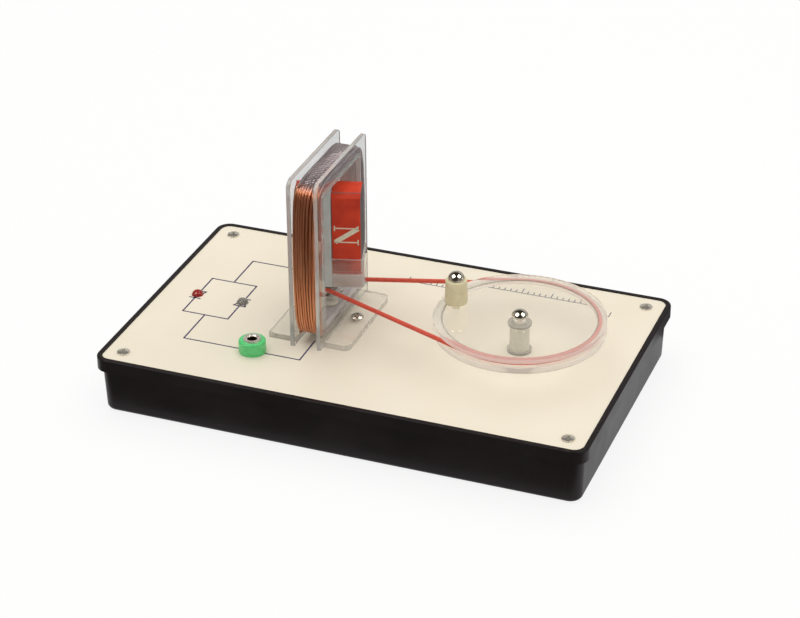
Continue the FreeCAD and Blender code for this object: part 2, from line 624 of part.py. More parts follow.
def knob():
    foot_z = DISC_TOP + END_PLAY
    top_z = foot_z + KNOB_HEIGHT
    body = Part.makeCone(KNOB_FOOT_D / 2, KNOB_TOP_D / 2, KNOB_HEIGHT, Vector(KNOB_X, KNOB_Y, foot_z))
    body = soften(body, KNOB_EDGE_R, at_height(top_z))
    bore_d = KNOB_SCREW_D + 2 * RUNNING_CLEARANCE
    export("crank_knob", body.cut(cylinder(KNOB_X, KNOB_Y, foot_z - 1, top_z + 1, bore_d)))
    export("knob_screw", dome_screw(KNOB_X, KNOB_Y, top_z + END_PLAY, KNOB_SCREW_HEAD_D,
                                    KNOB_SCREW_HEAD_H, KNOB_SCREW_D, KNOB_SCREW_END_Z))


def belt():
    """Round belt: two arcs on the pulleys and the two straight strands between them."""
    span = Vector(DISC_X - COIL_X, DISC_Y - COIL_Y, 0)
    lean = math.asin((DISC_BELT_R - SMALL_BELT_R) / span.Length)
    heading = math.atan2(span.y, span.x)
    near = Vector(COIL_X, COIL_Y, BELT_Z)
    far = Vector(DISC_X, DISC_Y, BELT_Z)

    def spoke(angle):
        return Vector(math.cos(angle), math.sin(angle), 0)

    left = spoke(heading + math.pi / 2 + lean)
    right = spoke(heading - math.pi / 2 - lean)
    forward = spoke(heading)
    near_left = near + left * SMALL_BELT_R
    near_end = near - forward * SMALL_BELT_R
    near_right = near + right * SMALL_BELT_R
    far_left = far + left * DISC_BELT_R
    far_end = far + forward * DISC_BELT_R
    far_right = far + right * DISC_BELT_R
    edges = [Part.LineSegment(near_right, far_right).toShape(),
             Part.Arc(far_right, far_end, far_left).toShape(),
             Part.LineSegment(far_left, near_left).toShape(),
             Part.Arc(near_left, near_end, near_right).toShape()]
    path = Part.Wire(edges)
    section = Part.Wire(Part.makeCircle(BELT_D / 2, near_right, far_right - near_right))
    loop = path.makePipeShell([section], True, True)
    print("  belt length %.1f mm" % path.Length)
    export("drive_belt", loop)


def hook_up_wires():
    """From each socket's solder lug, one wire to a coil lead and one to a leg of the clear diode."""
    leg_x = LED_XS["clear_led"]
    for side, (x, y) in socket_places().items():
        inward = 1 if y < 0 else -1
        lead_y = COIL_Y - inward * COIL_LEAD_Y
        leg_y = LED_Y - inward * LED_LEG_PITCH / 2
        coil_run = [(x, y + inward * SOLDER_LUG_T / 2, WIRE_Z),
                    (x + COIL_WIRE_BEND_1[0], y + inward * COIL_WIRE_BEND_1[1], WIRE_Z),
                    (x + COIL_WIRE_BEND_2[0], lead_y - inward * COIL_WIRE_BEND_2[1],
                     WIRE_Z + COIL_WIRE_RISE),
                    (COIL_LEAD_X, lead_y, WIRE_Z),
                    (COIL_LEAD_X, lead_y, COIL_LEAD_END_Z)]
        export(side + "_coil_wire", wire_run(coil_run, WIRE_D))
        led_run = [(x - SOLDER_LUG_W / 2, y, WIRE_Z),
                   (x - LED_WIRE_BEND_1[0], y + inward * LED_WIRE_BEND_1[1], WIRE_Z),
                   (leg_x + LED_WIRE_BEND_2[0], leg_y - inward * LED_WIRE_BEND_2[1], WIRE_Z),
                   (leg_x, leg_y, WIRE_Z - LED_WIRE_DROP),
                   (leg_x, leg_y, LED_LEG_END_Z)]
        export(side + "_led_wire", wire_run(led_run, WIRE_D))


os.makedirs("parts", exist_ok=True)
base_tray()
top_panel()
panel_screws()
diodes()
sockets()
bobbin()
winding()
feet()
spindle_bushes()
rotor()
crank_disc()
hub()
knob()
belt()
hook_up_wires()
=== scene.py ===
import math
import random

import bmesh
import bpy
from mathutils import Matrix, Vector


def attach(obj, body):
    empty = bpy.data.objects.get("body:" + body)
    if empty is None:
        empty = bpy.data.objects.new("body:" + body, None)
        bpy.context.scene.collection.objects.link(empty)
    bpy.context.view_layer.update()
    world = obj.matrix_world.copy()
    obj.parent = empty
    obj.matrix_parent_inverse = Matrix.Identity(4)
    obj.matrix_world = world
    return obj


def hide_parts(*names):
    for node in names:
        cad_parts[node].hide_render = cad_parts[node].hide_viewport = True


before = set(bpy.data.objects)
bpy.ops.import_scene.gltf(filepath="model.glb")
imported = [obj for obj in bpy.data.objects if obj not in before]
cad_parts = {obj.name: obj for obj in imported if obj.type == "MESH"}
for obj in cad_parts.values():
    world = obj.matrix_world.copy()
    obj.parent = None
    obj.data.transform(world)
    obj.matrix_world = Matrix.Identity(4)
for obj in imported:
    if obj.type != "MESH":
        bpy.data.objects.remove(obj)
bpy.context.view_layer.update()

# ---- Base tray ----
# A shallow tray moulded in black ABS, with an overhanging rim round its top.
# Its walls keep the fine grain of the mould, so they have a satin sheen.

MM = 0.001
NOISE_LOW, NOISE_HIGH = 0.3, 0.7


def node_adder(tree):
    """A function that adds a node to a tree, with its inputs and settings."""

    def add(kind, inputs=None, **settings):
        node = tree.nodes.new(kind)
        for key, value in settings.items():
            setattr(node, key, value)
        for key, value in (inputs or {}).items():
            if isinstance(value, bpy.types.NodeSocket):
                tree.links.new(value, node.inputs[key])
            else:
                node.inputs[key].default_value = value
        return node

    return add


def finish(name):
    """A new material: itself, its Principled shader, and a function that adds a node to it."""
    material = bpy.data.materials.new(name)
    material.use_nodes = True
    tree = material.node_tree
    return material, tree.nodes["Principled BSDF"], node_adder(tree)


def link(shader, socket, source):
    """Drive one socket of a shader from another node's output."""
    shader.id_data.links.new(source, shader.inputs[socket])


def hold(shader, fixed):
    """Set the sockets of a shader that are the same all over the surface."""
    for socket, value in fixed.items():
        shader.inputs[socket].default_value = value


def speckle(add, size, detail=3, stretch=(1, 1, 1)):
    """Noise whose grains are about size millimetres across, drawn out along an axis if asked."""
    place = add("ShaderNodeTexCoord").outputs["Object"]
    stretched = add("ShaderNodeMapping", {"Vector": place, "Scale": stretch})
    return add(
        "ShaderNodeTexNoise",
        {"Vector": stretched.outputs["Vector"], "Scale": 1 / (size * MM), "Detail": detail},
    ).outputs["Fac"]


def blend_of(add, noise, dark, light):
    """Two colours mixed along a noise, the dark one where it is low."""
    ramp = add("ShaderNodeValToRGB", {"Fac": noise})
    low_end, high_end = ramp.color_ramp.elements
    low_end.position, high_end.position = NOISE_LOW, NOISE_HIGH
    low_end.color, high_end.color = (*dark, 1), (*light, 1)
    return ramp.outputs["Color"]


def spread(add, noise, low, high):
    """A noise stretched to run from low to high."""
    ends = {"From Min": NOISE_LOW, "From Max": NOISE_HIGH, "To Min": low, "To Max": high}
    return add("ShaderNodeMapRange", {"Value": noise, **ends}).outputs["Result"]


def relief(add, height, depth, strength):
    """A bump of depth millimetres."""
    return add(
        "ShaderNodeBump", {"Height": height, "Distance": depth * MM, "Strength": strength}
    ).outputs["Normal"]


def dress(material, *nodes):
    """Give CAD nodes their finish."""
    for node in nodes:
        for node_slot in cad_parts[node].material_slots:
            node_slot.material = material


black_abs, shader, add = finish("black_abs")
grain = speckle(add, 0.35, 4)
patches = speckle(add, 18)
link(shader, "Base Color", blend_of(add, patches, (0.012, 0.0085, 0.0095), (0.018, 0.0135, 0.0145)))
link(shader, "Roughness", spread(add, patches, 0.33, 0.42))
link(shader, "Normal", relief(add, grain, 0.02, 0.5))
hold(shader, {"Specular IOR Level": 0.18})
dress(black_abs, "base_tray")

# ---- Top panel ----
# A cream laminate sheet let into the rim of the tray. Its face is smooth satin,
# with a faint mottle, and its corners are rounded to follow the rim.

cream_panel, shader, add = finish("cream_panel")
mottle = speckle(add, 30, 4)
fine = speckle(add, 0.5)
link(shader, "Base Color", blend_of(add, mottle, (0.825, 0.755, 0.615), (0.855, 0.785, 0.650)))
link(shader, "Roughness", spread(add, mottle, 0.42, 0.50))
link(shader, "Normal", relief(add, fine, 0.004, 0.3))
hold(shader, {"Specular IOR Level": 0.3})
dress(cream_panel, "top_panel")

# ---- Printed circuit ----
# Thin violet-blue lines screen-printed on the panel: the loop of the two diodes,
# the runs to both sockets and to the coil, and a symbol round each diode.

PANEL_TOP = 24.1
INK, LINE, LINE_CORNER = 0.04, 0.66, 0.12


def mottled(name, size, dark, light, rough, fixed=None, detail=3, stretch=(1, 1, 1)):
    """A finish whose colour and roughness vary together, in patches size millimetres across.
    Fixed holds the sockets that are the same all over."""
    material, shader, add = finish(name)
    patches = speckle(add, size, detail, stretch)
    link(shader, "Base Color", blend_of(add, patches, dark, light))
    link(shader, "Roughness", spread(add, patches, *rough))
    hold(shader, fixed or {})
    return material


def choose(piece):
    """Select just this piece and make it the active one."""
    bpy.ops.object.select_all(action="DESELECT")
    piece.select_set(True)
    bpy.context.view_layer.objects.active = piece


def lay_out(name):
    """Name the piece just added, and put its place, turn and size into its mesh."""
    piece = bpy.context.object
    piece.name = name
    bpy.ops.object.transform_apply(location=True, rotation=True, scale=True)
    return piece


def apply_modifier(piece, kind, **settings):
    """Shape a piece with a modifier, applied at once."""
    choose(piece)
    modifier = piece.modifiers.new(kind.lower(), kind)
    for key, value in settings.items():
        setattr(modifier, key, value)
    bpy.ops.object.modifier_apply(modifier=modifier.name)


def pick_edges(piece, wanted):
    """In edit mode, select just the edges whose two ends pass the test."""
    bpy.ops.object.mode_set(mode="EDIT")
    bpy.ops.mesh.select_mode(type="EDGE")
    bpy.ops.mesh.select_all(action="DESELECT")
    form = bmesh.from_edit_mesh(piece.data)
    for edge in form.edges:
        if wanted(edge.verts[0].co / MM, edge.verts[1].co / MM):
            edge.select_set(True)
    bmesh.update_edit_mesh(piece.data)


def round_edges(piece, wanted, radius, segments):
    """Round the edges of a piece that pass the test."""
    pick_edges(piece, wanted)
    bpy.ops.mesh.bevel(offset=radius * MM, segments=segments, affect="EDGES")
    bpy.ops.object.mode_set(mode="OBJECT")


def drawn(name, stroke, strokes, is_corner, corner):
    """Flat strokes as one mesh. Stroke draws each of them, and their corners are rounded."""
    bpy.ops.object.select_all(action="DESELECT")
    stroke(*strokes[0])
    piece = lay_out(name)
    bpy.ops.object.mode_set(mode="EDIT")
    for parts in strokes[1:]:
        stroke(*parts)
    round_edges(piece, is_corner, corner, 2)
    return piece


def settle(piece, body, material=None, node=None, smooth=35):
    """Leave a finished piece at the origin, with its finish, on its body."""
    choose(piece)
    bpy.ops.object.transform_apply(location=True, rotation=True, scale=True)
    if material:
        piece.data.materials.append(material)
    bpy.ops.object.shade_smooth_by_angle(angle=math.radians(smooth))
    apply_modifier(piece, "WEIGHTED_NORMAL", keep_sharp=True)
    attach(piece, body)
    if node:
        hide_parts(node)
    bpy.ops.object.select_all(action="DESELECT")


def ink_bar(a, b, width=LINE):
    """One straight printed line from a to b, as a flat bar on the panel."""
    (ax, ay), (bx, by) = a, b
    length = math.hypot(bx - ax, by - ay)
    bpy.ops.mesh.primitive_cube_add(
        size=1,
        location=((ax + bx) / 2 * MM, (ay + by) / 2 * MM, (PANEL_TOP + INK / 2) * MM),
        rotation=(0, 0, math.atan2(by - ay, bx - ax)),
        scale=((length + width) * MM, width * MM, INK * MM),
    )


def printed(name, bars):
    """A set of printed lines as one piece."""
    piece = drawn(name, ink_bar, bars, lambda a, b: abs(a.z - b.z) > INK / 2, LINE_CORNER)
    settle(piece, "base", printed_ink)


printed_ink = mottled("printed_ink", 0.8, (0.052, 0.040, 0.105), (0.078, 0.062, 0.150), (0.45, 0.6))

LOOP_LEFT, LOOP_RIGHT, LOOP_BACK, LOOP_FRONT = -84.9, -64.7, 14.7, -14.7
FEED_X, RUN_BACK, RUN_FRONT, COIL_X, COIL_REACH = -75.0, 34.5, -34.8, -24.5, 18.8
SOCKET_X, SOCKET_Y, SOCKET_KEEP = -44.9, 34.6, 5.2
DIODE_KEEP = 3.1

circuit = []
for x in (LOOP_LEFT, LOOP_RIGHT):
    circuit.append(((x, LOOP_FRONT), (x, -DIODE_KEEP)))
    circuit.append(((x, DIODE_KEEP), (x, LOOP_BACK)))
for y, run, side in ((LOOP_BACK, RUN_BACK, 1), (LOOP_FRONT, RUN_FRONT, -1)):
    circuit.append(((LOOP_LEFT, y), (LOOP_RIGHT, y)))
    circuit.append(((FEED_X, y), (FEED_X, run)))
    circuit.append(((FEED_X, run), (SOCKET_X - SOCKET_KEEP, run)))
    circuit.append(((SOCKET_X + SOCKET_KEEP, run), (COIL_X, run)))
    circuit.append(((COIL_X, run), (COIL_X, side * COIL_REACH)))
printed("printed_circuit", circuit)

SYMBOL_WIDE, SYMBOL_TIP, SYMBOL_BAR = 2.5, 3.0, 2.3
symbols = []
for x, way in ((LOOP_LEFT, -1), (LOOP_RIGHT, 1)):
    foot_y, tip_y = -way * SYMBOL_TIP, way * SYMBOL_TIP
    for side in (-1, 1):
        symbols.append(((x + side * SYMBOL_WIDE, foot_y), (x, tip_y)))
    symbols.append(((x - SYMBOL_WIDE, foot_y), (x + SYMBOL_WIDE, foot_y)))
    symbols.append(((x - SYMBOL_BAR, tip_y), (x + SYMBOL_BAR, tip_y)))
printed("diode_symbols", symbols)

# ---- Printed scale ----
# A plain graduated line printed along the back of the panel in the same ink.
# Every fifth division is longer.

SCALE_Y, SCALE_FROM, SCALE_STEP, SCALE_COUNT = 41.0, -7.0, 2.5, 36
SCALE_LINE, SHORT_MARK, LONG_MARK, LONG_EVERY = 0.35, 2.0, 3.6, 5
scale_to = SCALE_FROM + SCALE_STEP * (SCALE_COUNT - 1)
divisions = [((SCALE_FROM, SCALE_Y), (scale_to, SCALE_Y), SCALE_LINE)]
for step in range(SCALE_COUNT):
    x = SCALE_FROM + SCALE_STEP * step
    mark = SHORT_MARK if step % LONG_EVERY else LONG_MARK
    divisions.append(((x, SCALE_Y), (x, SCALE_Y + mark), SCALE_LINE))
printed("printed_scale", divisions)

# ---- Panel screws ----
# Four nickel-plated pan-head screws hold the panel down at its corners.
# Each has a cross recess, and they stopped at different turns.


def weld():
    """In edit mode, merge doubled points, turn all faces outwards, and leave edit mode."""
    bpy.ops.mesh.select_all(action="SELECT")
    bpy.ops.mesh.remove_doubles(threshold=1e-6)
    bpy.ops.mesh.normals_make_consistent(inside=False)
    bpy.ops.object.mode_set(mode="OBJECT")


def turned(name, x, y, rings, segments, bored=False):
    """A lathe-turned piece: a circle drawn out through rings of (radius, height).
    A bored piece has rings that go all the way round its section."""
    bpy.ops.object.select_all(action="DESELECT")
    radius, height = rings[0]
    bpy.ops.mesh.primitive_circle_add(
        vertices=segments,
        radius=radius * MM,
        location=(x * MM, y * MM, height * MM),
        fill_type="NOTHING" if bored else "NGON",
    )
    piece = lay_out(name)
    bpy.ops.object.mode_set(mode="EDIT")
    bpy.ops.mesh.select_mode(type="VERT")
    bpy.ops.mesh.select_all(action="SELECT")
    for next_radius, next_height in rings[1:] + (rings[:1] if bored else []):
        bpy.ops.mesh.extrude_region_move(
            TRANSFORM_OT_translate={"value": (0, 0, (next_height - height) * MM)}
        )
        ratio = next_radius / radius
        bpy.ops.transform.resize(
            value=(ratio, ratio, 1), center_override=(x * MM, y * MM, next_height * MM)
        )
        radius, height = next_radius, next_height
    weld()
    return piece


def cut(piece, tool):
    """Cut the tool's shape out of a piece."""
    apply_modifier(piece, "BOOLEAN", operation="DIFFERENCE", solver="EXACT", object=tool)
    bpy.data.objects.remove(tool)


HEAD_WALL, HEAD_EDGE, TIP_CHAMFER, DOME_RINGS = 0.5, 0.12, 0.35, 11
RECESS_REACH, RECESS_WIDE, RECESS_HIGH, RECESS_TAPER = 0.5, 0.7, 1.8, 0.55


def dome_screw(name, x, y, head, rise, shank, seat, tip):
    """A plain domed screw. Head is its diameter, rise its height above the seat, and tip
    the height at which its shank ends."""
    radius, cap = head / 2, rise - HEAD_WALL
    ball = (radius**2 + cap**2) / (2 * cap)
    sweep = math.asin(min(1, radius / ball))
    dome = []
    for step in range(DOME_RINGS):
        # The last ring stops just short of the axis
        angle = sweep * (1 - step / (DOME_RINGS - 0.4))
        dome.append((ball * math.sin(angle), seat + rise - ball + ball * math.cos(angle)))
    rings = [(shank / 2 - TIP_CHAMFER, tip), (shank / 2, tip + TIP_CHAMFER), (shank / 2, seat)]
    rings += [(radius - HEAD_EDGE, seat), (radius, seat + HEAD_EDGE)] + dome
    return turned(name, x, y, rings, 48)


def cross_screw(name, head, rise, shank, seat, tip):
    """A domed screw on the Z axis, with a tapered cross recess."""
    piece = dome_screw(name, 0, 0, head, rise, shank, seat, tip)
    top = seat + rise
    for turn in (0, math.pi / 2):
        bpy.ops.object.select_all(action="DESELECT")
        bpy.ops.mesh.primitive_cube_add(
            size=1,
            location=(0, 0, top * MM),
            rotation=(0, 0, turn),
            scale=(head * RECESS_REACH * MM, RECESS_WIDE * MM, RECESS_HIGH * MM),
        )
        recess = lay_out("recess")
        pick_edges(recess, lambda a, b: max(a.z, b.z) < top)
        bpy.ops.transform.resize(
            value=(RECESS_TAPER, RECESS_TAPER, 1), center_override=(0, 0, top * MM)
        )
        bpy.ops.object.mode_set(mode="OBJECT")
        cut(piece, recess)
    return piece


def copy_to(piece, name, x, y, turn):
    """A copy of a piece modelled on the Z axis, with its own mesh, at a place and turn."""
    twin = piece.copy()
    twin.data = piece.data.copy()
    twin.name = name
    bpy.context.collection.objects.link(twin)
    twin.location = (x * MM, y * MM, 0)
    twin.rotation_euler.z = math.radians(turn)
    return twin


METAL = {"Metallic": 1}
screw_steel = mottled(
    "screw_steel", 1.2, (0.66, 0.63, 0.55), (0.78, 0.75, 0.67), (0.26, 0.36), METAL
)
pale_nickel = mottled(
    "pale_nickel", 1.2, (0.76, 0.73, 0.65), (0.86, 0.83, 0.76), (0.22, 0.30), {"Metallic": 0.82}
)

SCREW_X, SCREW_Y, NEXT_TURN = 92.7, 53.6, 25
pattern = cross_screw("panel_screw", head=5.2, rise=1.1, shank=2.6, seat=PANEL_TOP, tip=14.1)
corners = [(x, y) for x in (-SCREW_X, SCREW_X) for y in (-SCREW_Y, SCREW_Y)]
for index, (x, y) in enumerate(corners):
    screw = copy_to(pattern, f"panel_screw_{index + 1}", x, y, NEXT_TURN * index)
    settle(screw, "base", pale_nickel, node="panel_screws")
bpy.data.objects.remove(pattern)

# ---- Diodes ----
# Two 5 mm diodes cast in epoxy, one tinted red and one clear, stand through the panel.
# Each holds a tinned lead frame: a small dish on one post and a flat blade on the other.

red_epoxy = mottled(
    "red_epoxy", 1.5, (0.50, 0.035, 0.030), (0.62, 0.060, 0.050), (0.05, 0.10),
    {"Transmission Weight": 0.45, "IOR": 1.54}, detail=2,
)
clear_epoxy = mottled(
    "clear_epoxy", 1.5, (0.58, 0.56, 0.49), (0.68, 0.66, 0.58), (0.06, 0.12),
    {"Transmission Weight": 0.7, "IOR": 1.25}, detail=2,
)
tinned_wire = mottled(
    "tinned_wire", 0.8, (0.62, 0.62, 0.61), (0.76, 0.76, 0.74), (0.22, 0.38), METAL
)
dress(red_epoxy, "red_led")
dress(clear_epoxy, "clear_led")
dress(tinned_wire, "led_legs", "led_links")

RED_X, CLEAR_X, DISH_Y, BLADE_Y, BLADE_Z = -85.0, -64.6, 1.27, -1.0, 20.0
BLADE_THICK, BLADE_WIDE, BLADE_HIGH, BLADE_EDGE = 0.5, 0.9, 6.0, 0.1
dish_rings = [
    (0.25, 17.0), (0.25, 20.6), (0.45, 21.6), (0.95, 22.7),
    (0.95, 22.9), (0.8, 22.9), (0.35, 22.4), (0.1, 22.4),
]
for name, x in (("red_led_frame", RED_X), ("clear_led_frame", CLEAR_X)):
    lead_frame = turned(name, x, DISH_Y, dish_rings, 24)
    bpy.ops.object.mode_set(mode="EDIT")
    bpy.ops.mesh.primitive_cube_add(
        size=1,
        location=(x * MM, BLADE_Y * MM, BLADE_Z * MM),
        scale=(BLADE_THICK * MM, BLADE_WIDE * MM, BLADE_HIGH * MM),
    )
    round_edges(lead_frame, lambda a, b: abs(a.z - b.z) > BLADE_HIGH - 0.1, BLADE_EDGE, 2)
    settle(lead_frame, "base", tinned_wire)

# ---- Sockets ----
# Green insulated plug sockets with a nickelled brass sleeve, 4 mm in the bore, whose wall is
# painted dark brown for the shade in the hole. A black nylon nut holds each from under the panel.

green_plastic = mottled(
    "green_plastic", 4, (0.085, 0.640, 0.190), (0.110, 0.700, 0.225), (0.24, 0.32),
    {
        "Specular IOR Level": 0.8,
        "Subsurface Weight": 0.1,
        "Subsurface Radius": (0.0006, 0.0012, 0.0006),
    },
)
nickel_brass = mottled(
    "nickel_brass", 0.5, (0.80, 0.77, 0.69), (0.90, 0.87, 0.80), (0.34, 0.46),
    {"Metallic": 0.72}, stretch=(1, 1, 4),
)
# Painted shade: the bore's wall is coloured dark brown for the shade deep inside the hole
bore_shade = mottled(
    "bore_shade", 0.5, (0.26, 0.19, 0.12), (0.34, 0.26, 0.17), (0.40, 0.52),
    METAL, stretch=(1, 1, 4),
)
black_nylon = mottled("black_nylon", 2, (0.02, 0.02, 0.02), (0.035, 0.035, 0.035), (0.4, 0.55))


def off_axis(polygon, x, y):
    """How far the middle of a face is from an upright axis, in millimetres."""
    return math.hypot(polygon.center.x / MM - x, polygon.center.y / MM - y)


SOCKET_TOP, RING_TOP = 29.4, 30.2
BARREL_LOW, SLEEVE_LOW, BORE_LOW = 12.0, 9.0, 10.7
HEAD_R, BARREL_R, SLEEVE_R, RING_R, BORE_R = 5.5, 4.0, 3.1, 3.6, 2.0
head_rings = [
    (SLEEVE_R, BARREL_LOW), (BARREL_R, BARREL_LOW), (BARREL_R, PANEL_TOP), (HEAD_R, PANEL_TOP),
    (HEAD_R, SOCKET_TOP - 0.7), (HEAD_R - 0.08, SOCKET_TOP - 0.35),
    (HEAD_R - 0.3, SOCKET_TOP - 0.1), (HEAD_R - 0.7, SOCKET_TOP), (SLEEVE_R, SOCKET_TOP),
]
sleeve_rings = [
    (SLEEVE_R, SLEEVE_LOW), (SLEEVE_R, SOCKET_TOP), (RING_R, SOCKET_TOP),
    (RING_R, RING_TOP - 0.25), (RING_R - 0.1, RING_TOP - 0.08), (RING_R - 0.35, RING_TOP),
    (BORE_R + 0.6, RING_TOP), (BORE_R + 0.4, RING_TOP - 0.1), (BORE_R, RING_TOP - 0.55),
    (BORE_R, BORE_LOW),
]
for side, y in (("front", -SOCKET_Y), ("rear", SOCKET_Y)):
    head = turned(f"{side}_socket_head", SOCKET_X, y, head_rings, 96, bored=True)
    settle(head, "base", green_plastic, node=f"{side}_socket_body")
    ring = turned(f"{side}_socket_ring", SOCKET_X, y, sleeve_rings, 64)
    for material in (nickel_brass, bore_shade):
        ring.data.materials.append(material)
    # The faces inside the bore take the painted shade
    for polygon in ring.data.polygons:
        upright_wall = abs(polygon.normal.z) < 0.5
        in_bore = upright_wall and off_axis(polygon, SOCKET_X, y) < BORE_R + 0.1
        polygon.material_index = int(in_bore)
    settle(ring, "base", node=f"{side}_socket_sleeve")
dress(black_nylon, "socket_nuts")

# ---- Bobbin cheeks ----
# Two clear acrylic plates, cut from sheet, with rounded top corners and a tall window.
# Their faces are polished, and their edges were flame polished after sawing.

FILM_PATCH = 6


def show_mix(tree, share, first, second):
    """Send two shaders to a tree's output: the first at a share of 0, the second at 1."""
    mix = node_adder(tree)("ShaderNodeMixShader", {0: share, 1: first, 2: second})
    output = next(node for node in tree.nodes if node.type.startswith("OUTPUT"))
    tree.links.new(mix.outputs["Shader"], output.inputs["Surface"])


def acrylic(name, dark, light, clear, rough, lets_by=0.94, bend=1.49, gloss=0.0):
    """Acrylic that lets lamplight by. Clear is its share of clear plastic, the rest being
    milky, lets_by is how much lamplight passes, bend is its index of refraction, and gloss
    is the strength of a polished skin on it."""
    fixed = {"Transmission Weight": clear, "IOR": bend, "Coat Weight": gloss}
    material = mottled(name, FILM_PATCH, dark, light, rough, fixed)
    tree = material.node_tree
    add = node_adder(tree)
    through = add("ShaderNodeBsdfTransparent", {"Color": (lets_by, lets_by, lets_by, 1)})
    path = add("ShaderNodeLightPath").outputs
    rays = {0: path["Is Shadow Ray"], 1: path["Is Diffuse Ray"]}
    lamplight = add("ShaderNodeMath", rays, operation="MAXIMUM").outputs[0]
    plastic = tree.nodes["Principled BSDF"].outputs["BSDF"]
    show_mix(tree, lamplight, plastic, through.outputs["BSDF"])
    return material


clear_acrylic = acrylic(
    "clear_acrylic", (0.83, 0.85, 0.845), (0.85, 0.87, 0.865), clear=1, rough=(0.0, 0.03)
)
edge_acrylic = acrylic(
    "edge_acrylic", (0.72, 0.70, 0.67), (0.80, 0.78, 0.75), clear=0.62, rough=(0.15, 0.28)
)


def block(name, low, high):
    """A rectangular block between two corners, in millimetres, ready to shape."""
    bpy.ops.object.select_all(action="DESELECT")
    bpy.ops.mesh.primitive_cube_add(
        size=1,
        location=[(a + b) / 2 * MM for a, b in zip(low, high)],
        scale=[(b - a) * MM for a, b in zip(low, high)],
    )
    return lay_out(name)


def break_edges(piece, width, segments=2, angle=50):
    """Take the sharpness off every edge of a piece where its faces meet at over the angle."""
    apply_modifier(
        piece, "BEVEL", width=width * MM, segments=segments,
        limit_method="ANGLE", angle_limit=math.radians(angle),
    )


def two_finishes(piece, face_finish, edge_finish, is_face):
    """Give the faces whose normal passes the test one finish and the rest another."""
    piece.data.materials.append(face_finish)
    piece.data.materials.append(edge_finish)
    for polygon in piece.data.polygons:
        polygon.material_index = 0 if is_face(polygon.normal) else 1


def along_x(a, b):
    """True for an edge that runs through a cheek's thickness."""
    return abs(a.x - b.x) > 1


CHEEK_FRONT, CHEEK_BACK, CHEEK_TOP = -25.7, 26.3, 97.5
FRONT_CORNER, BACK_CORNER, WINDOW_CORNER, SHEET_EDGE = 3.6, 2.2, 1.0, 0.2
WINDOW_LOW, WINDOW_HIGH = (-19.5, 32.0), (20.1, 90.0)
for name, x_low, x_high in (("left_cheek", -32.3, -30.5), ("right_cheek", -21.0, -19.2)):
    cheek = block(f"{name}_plate", (x_low, CHEEK_FRONT, PANEL_TOP), (x_high, CHEEK_BACK, CHEEK_TOP))
    for end_y, corner in ((CHEEK_FRONT, FRONT_CORNER), (CHEEK_BACK, BACK_CORNER)):
        round_edges(
            cheek,
            lambda a, b: along_x(a, b) and a.z > CHEEK_TOP - 1 and abs(a.y - end_y) < 0.1,
            corner, 8,
        )
    window = block("window", (x_low - 1, *WINDOW_LOW), (x_high + 1, *WINDOW_HIGH))
    round_edges(window, along_x, WINDOW_CORNER, 4)
    cut(cheek, window)
    break_edges(cheek, SHEET_EDGE)
    two_finishes(cheek, clear_acrylic, edge_acrylic, lambda n: abs(n.x) > 0.7)
    settle(cheek, "base", node=name)

# ---- Coil former ----
# A rectangular tube of thin acrylic between the cheeks, glued up from strips.
# It is clear but a little milky, and the wire is wound on it.

former_acrylic = acrylic(
    "former_acrylic", (0.80, 0.80, 0.78), (0.86, 0.86, 0.84), clear=0.76, rough=(0.05, 0.12)
)
dress(former_acrylic, "coil_former")

# ---- Coil winding ----
# Enamelled copper wire wound by hand in layers, each turn crossing to the next over the top.
# The turns lie loosely, the outer ones spread and cross, and the coil bulges at half height.


def tube(name, runs, radius):
    """Round wires as one mesh, each along a smooth line through its points."""
    line = bpy.data.curves.new(name, "CURVE")
    line.dimensions = "3D"
    line.bevel_depth = radius * MM
    line.bevel_resolution = 2
    line.use_fill_caps = True
    for points in runs:
        spline = line.splines.new("NURBS")
        spline.points.add(len(points) - 1)
        for knot, point in zip(spline.points, points):
            knot.co = (*[value * MM for value in point], 1)
        spline.order_u = 3
        spline.use_endpoint_u = True
        spline.resolution_u = 4
    piece = bpy.data.objects.new(name, line)
    bpy.context.collection.objects.link(piece)
    choose(piece)
    bpy.ops.object.convert(target="MESH")
    bpy.ops.object.mode_set(mode="EDIT")
    weld()
    return piece


# The Y, in metres, where the copper front gives way to the top and back, painted grey-purple for
# their sheen
SHEEN_FROM, SHEEN_TO = -0.0225, -0.0180
enamelled_copper, shader, add = finish("enamelled_copper")
along = speckle(add, 7, 2)
strands = speckle(add, 1.3, 2, (1, 0.08, 0.08))
bright = blend_of(add, strands, (0.58, 0.205, 0.090), (0.75, 0.315, 0.165))
# Painted reflection: the top and back are coloured a pale grey-purple for the dim room they
# reflect, not the wire's own colour
painted_sheen = blend_of(add, strands, (0.42, 0.350, 0.370), (0.70, 0.610, 0.635))
place = add("ShaderNodeTexCoord").outputs["Object"]
along_y = add("ShaderNodeSeparateXYZ", {0: place}).outputs["Y"]
back = add(
    "ShaderNodeMapRange", {"Value": along_y, "From Min": SHEEN_FROM, "From Max": SHEEN_TO}
).outputs[0]
copper = add("ShaderNodeMix", {0: back, 6: bright, 7: painted_sheen}, data_type="RGBA")
link(shader, "Base Color", copper.outputs[2])
polish = add("ShaderNodeMix", {0: back, 2: spread(add, along, 0.30, 0.40), 3: 0.45})
link(shader, "Roughness", polish.outputs[0])
hold(shader, {"Metallic": 0.92, "Coat Weight": 0.5, "Coat Roughness": 0.12})

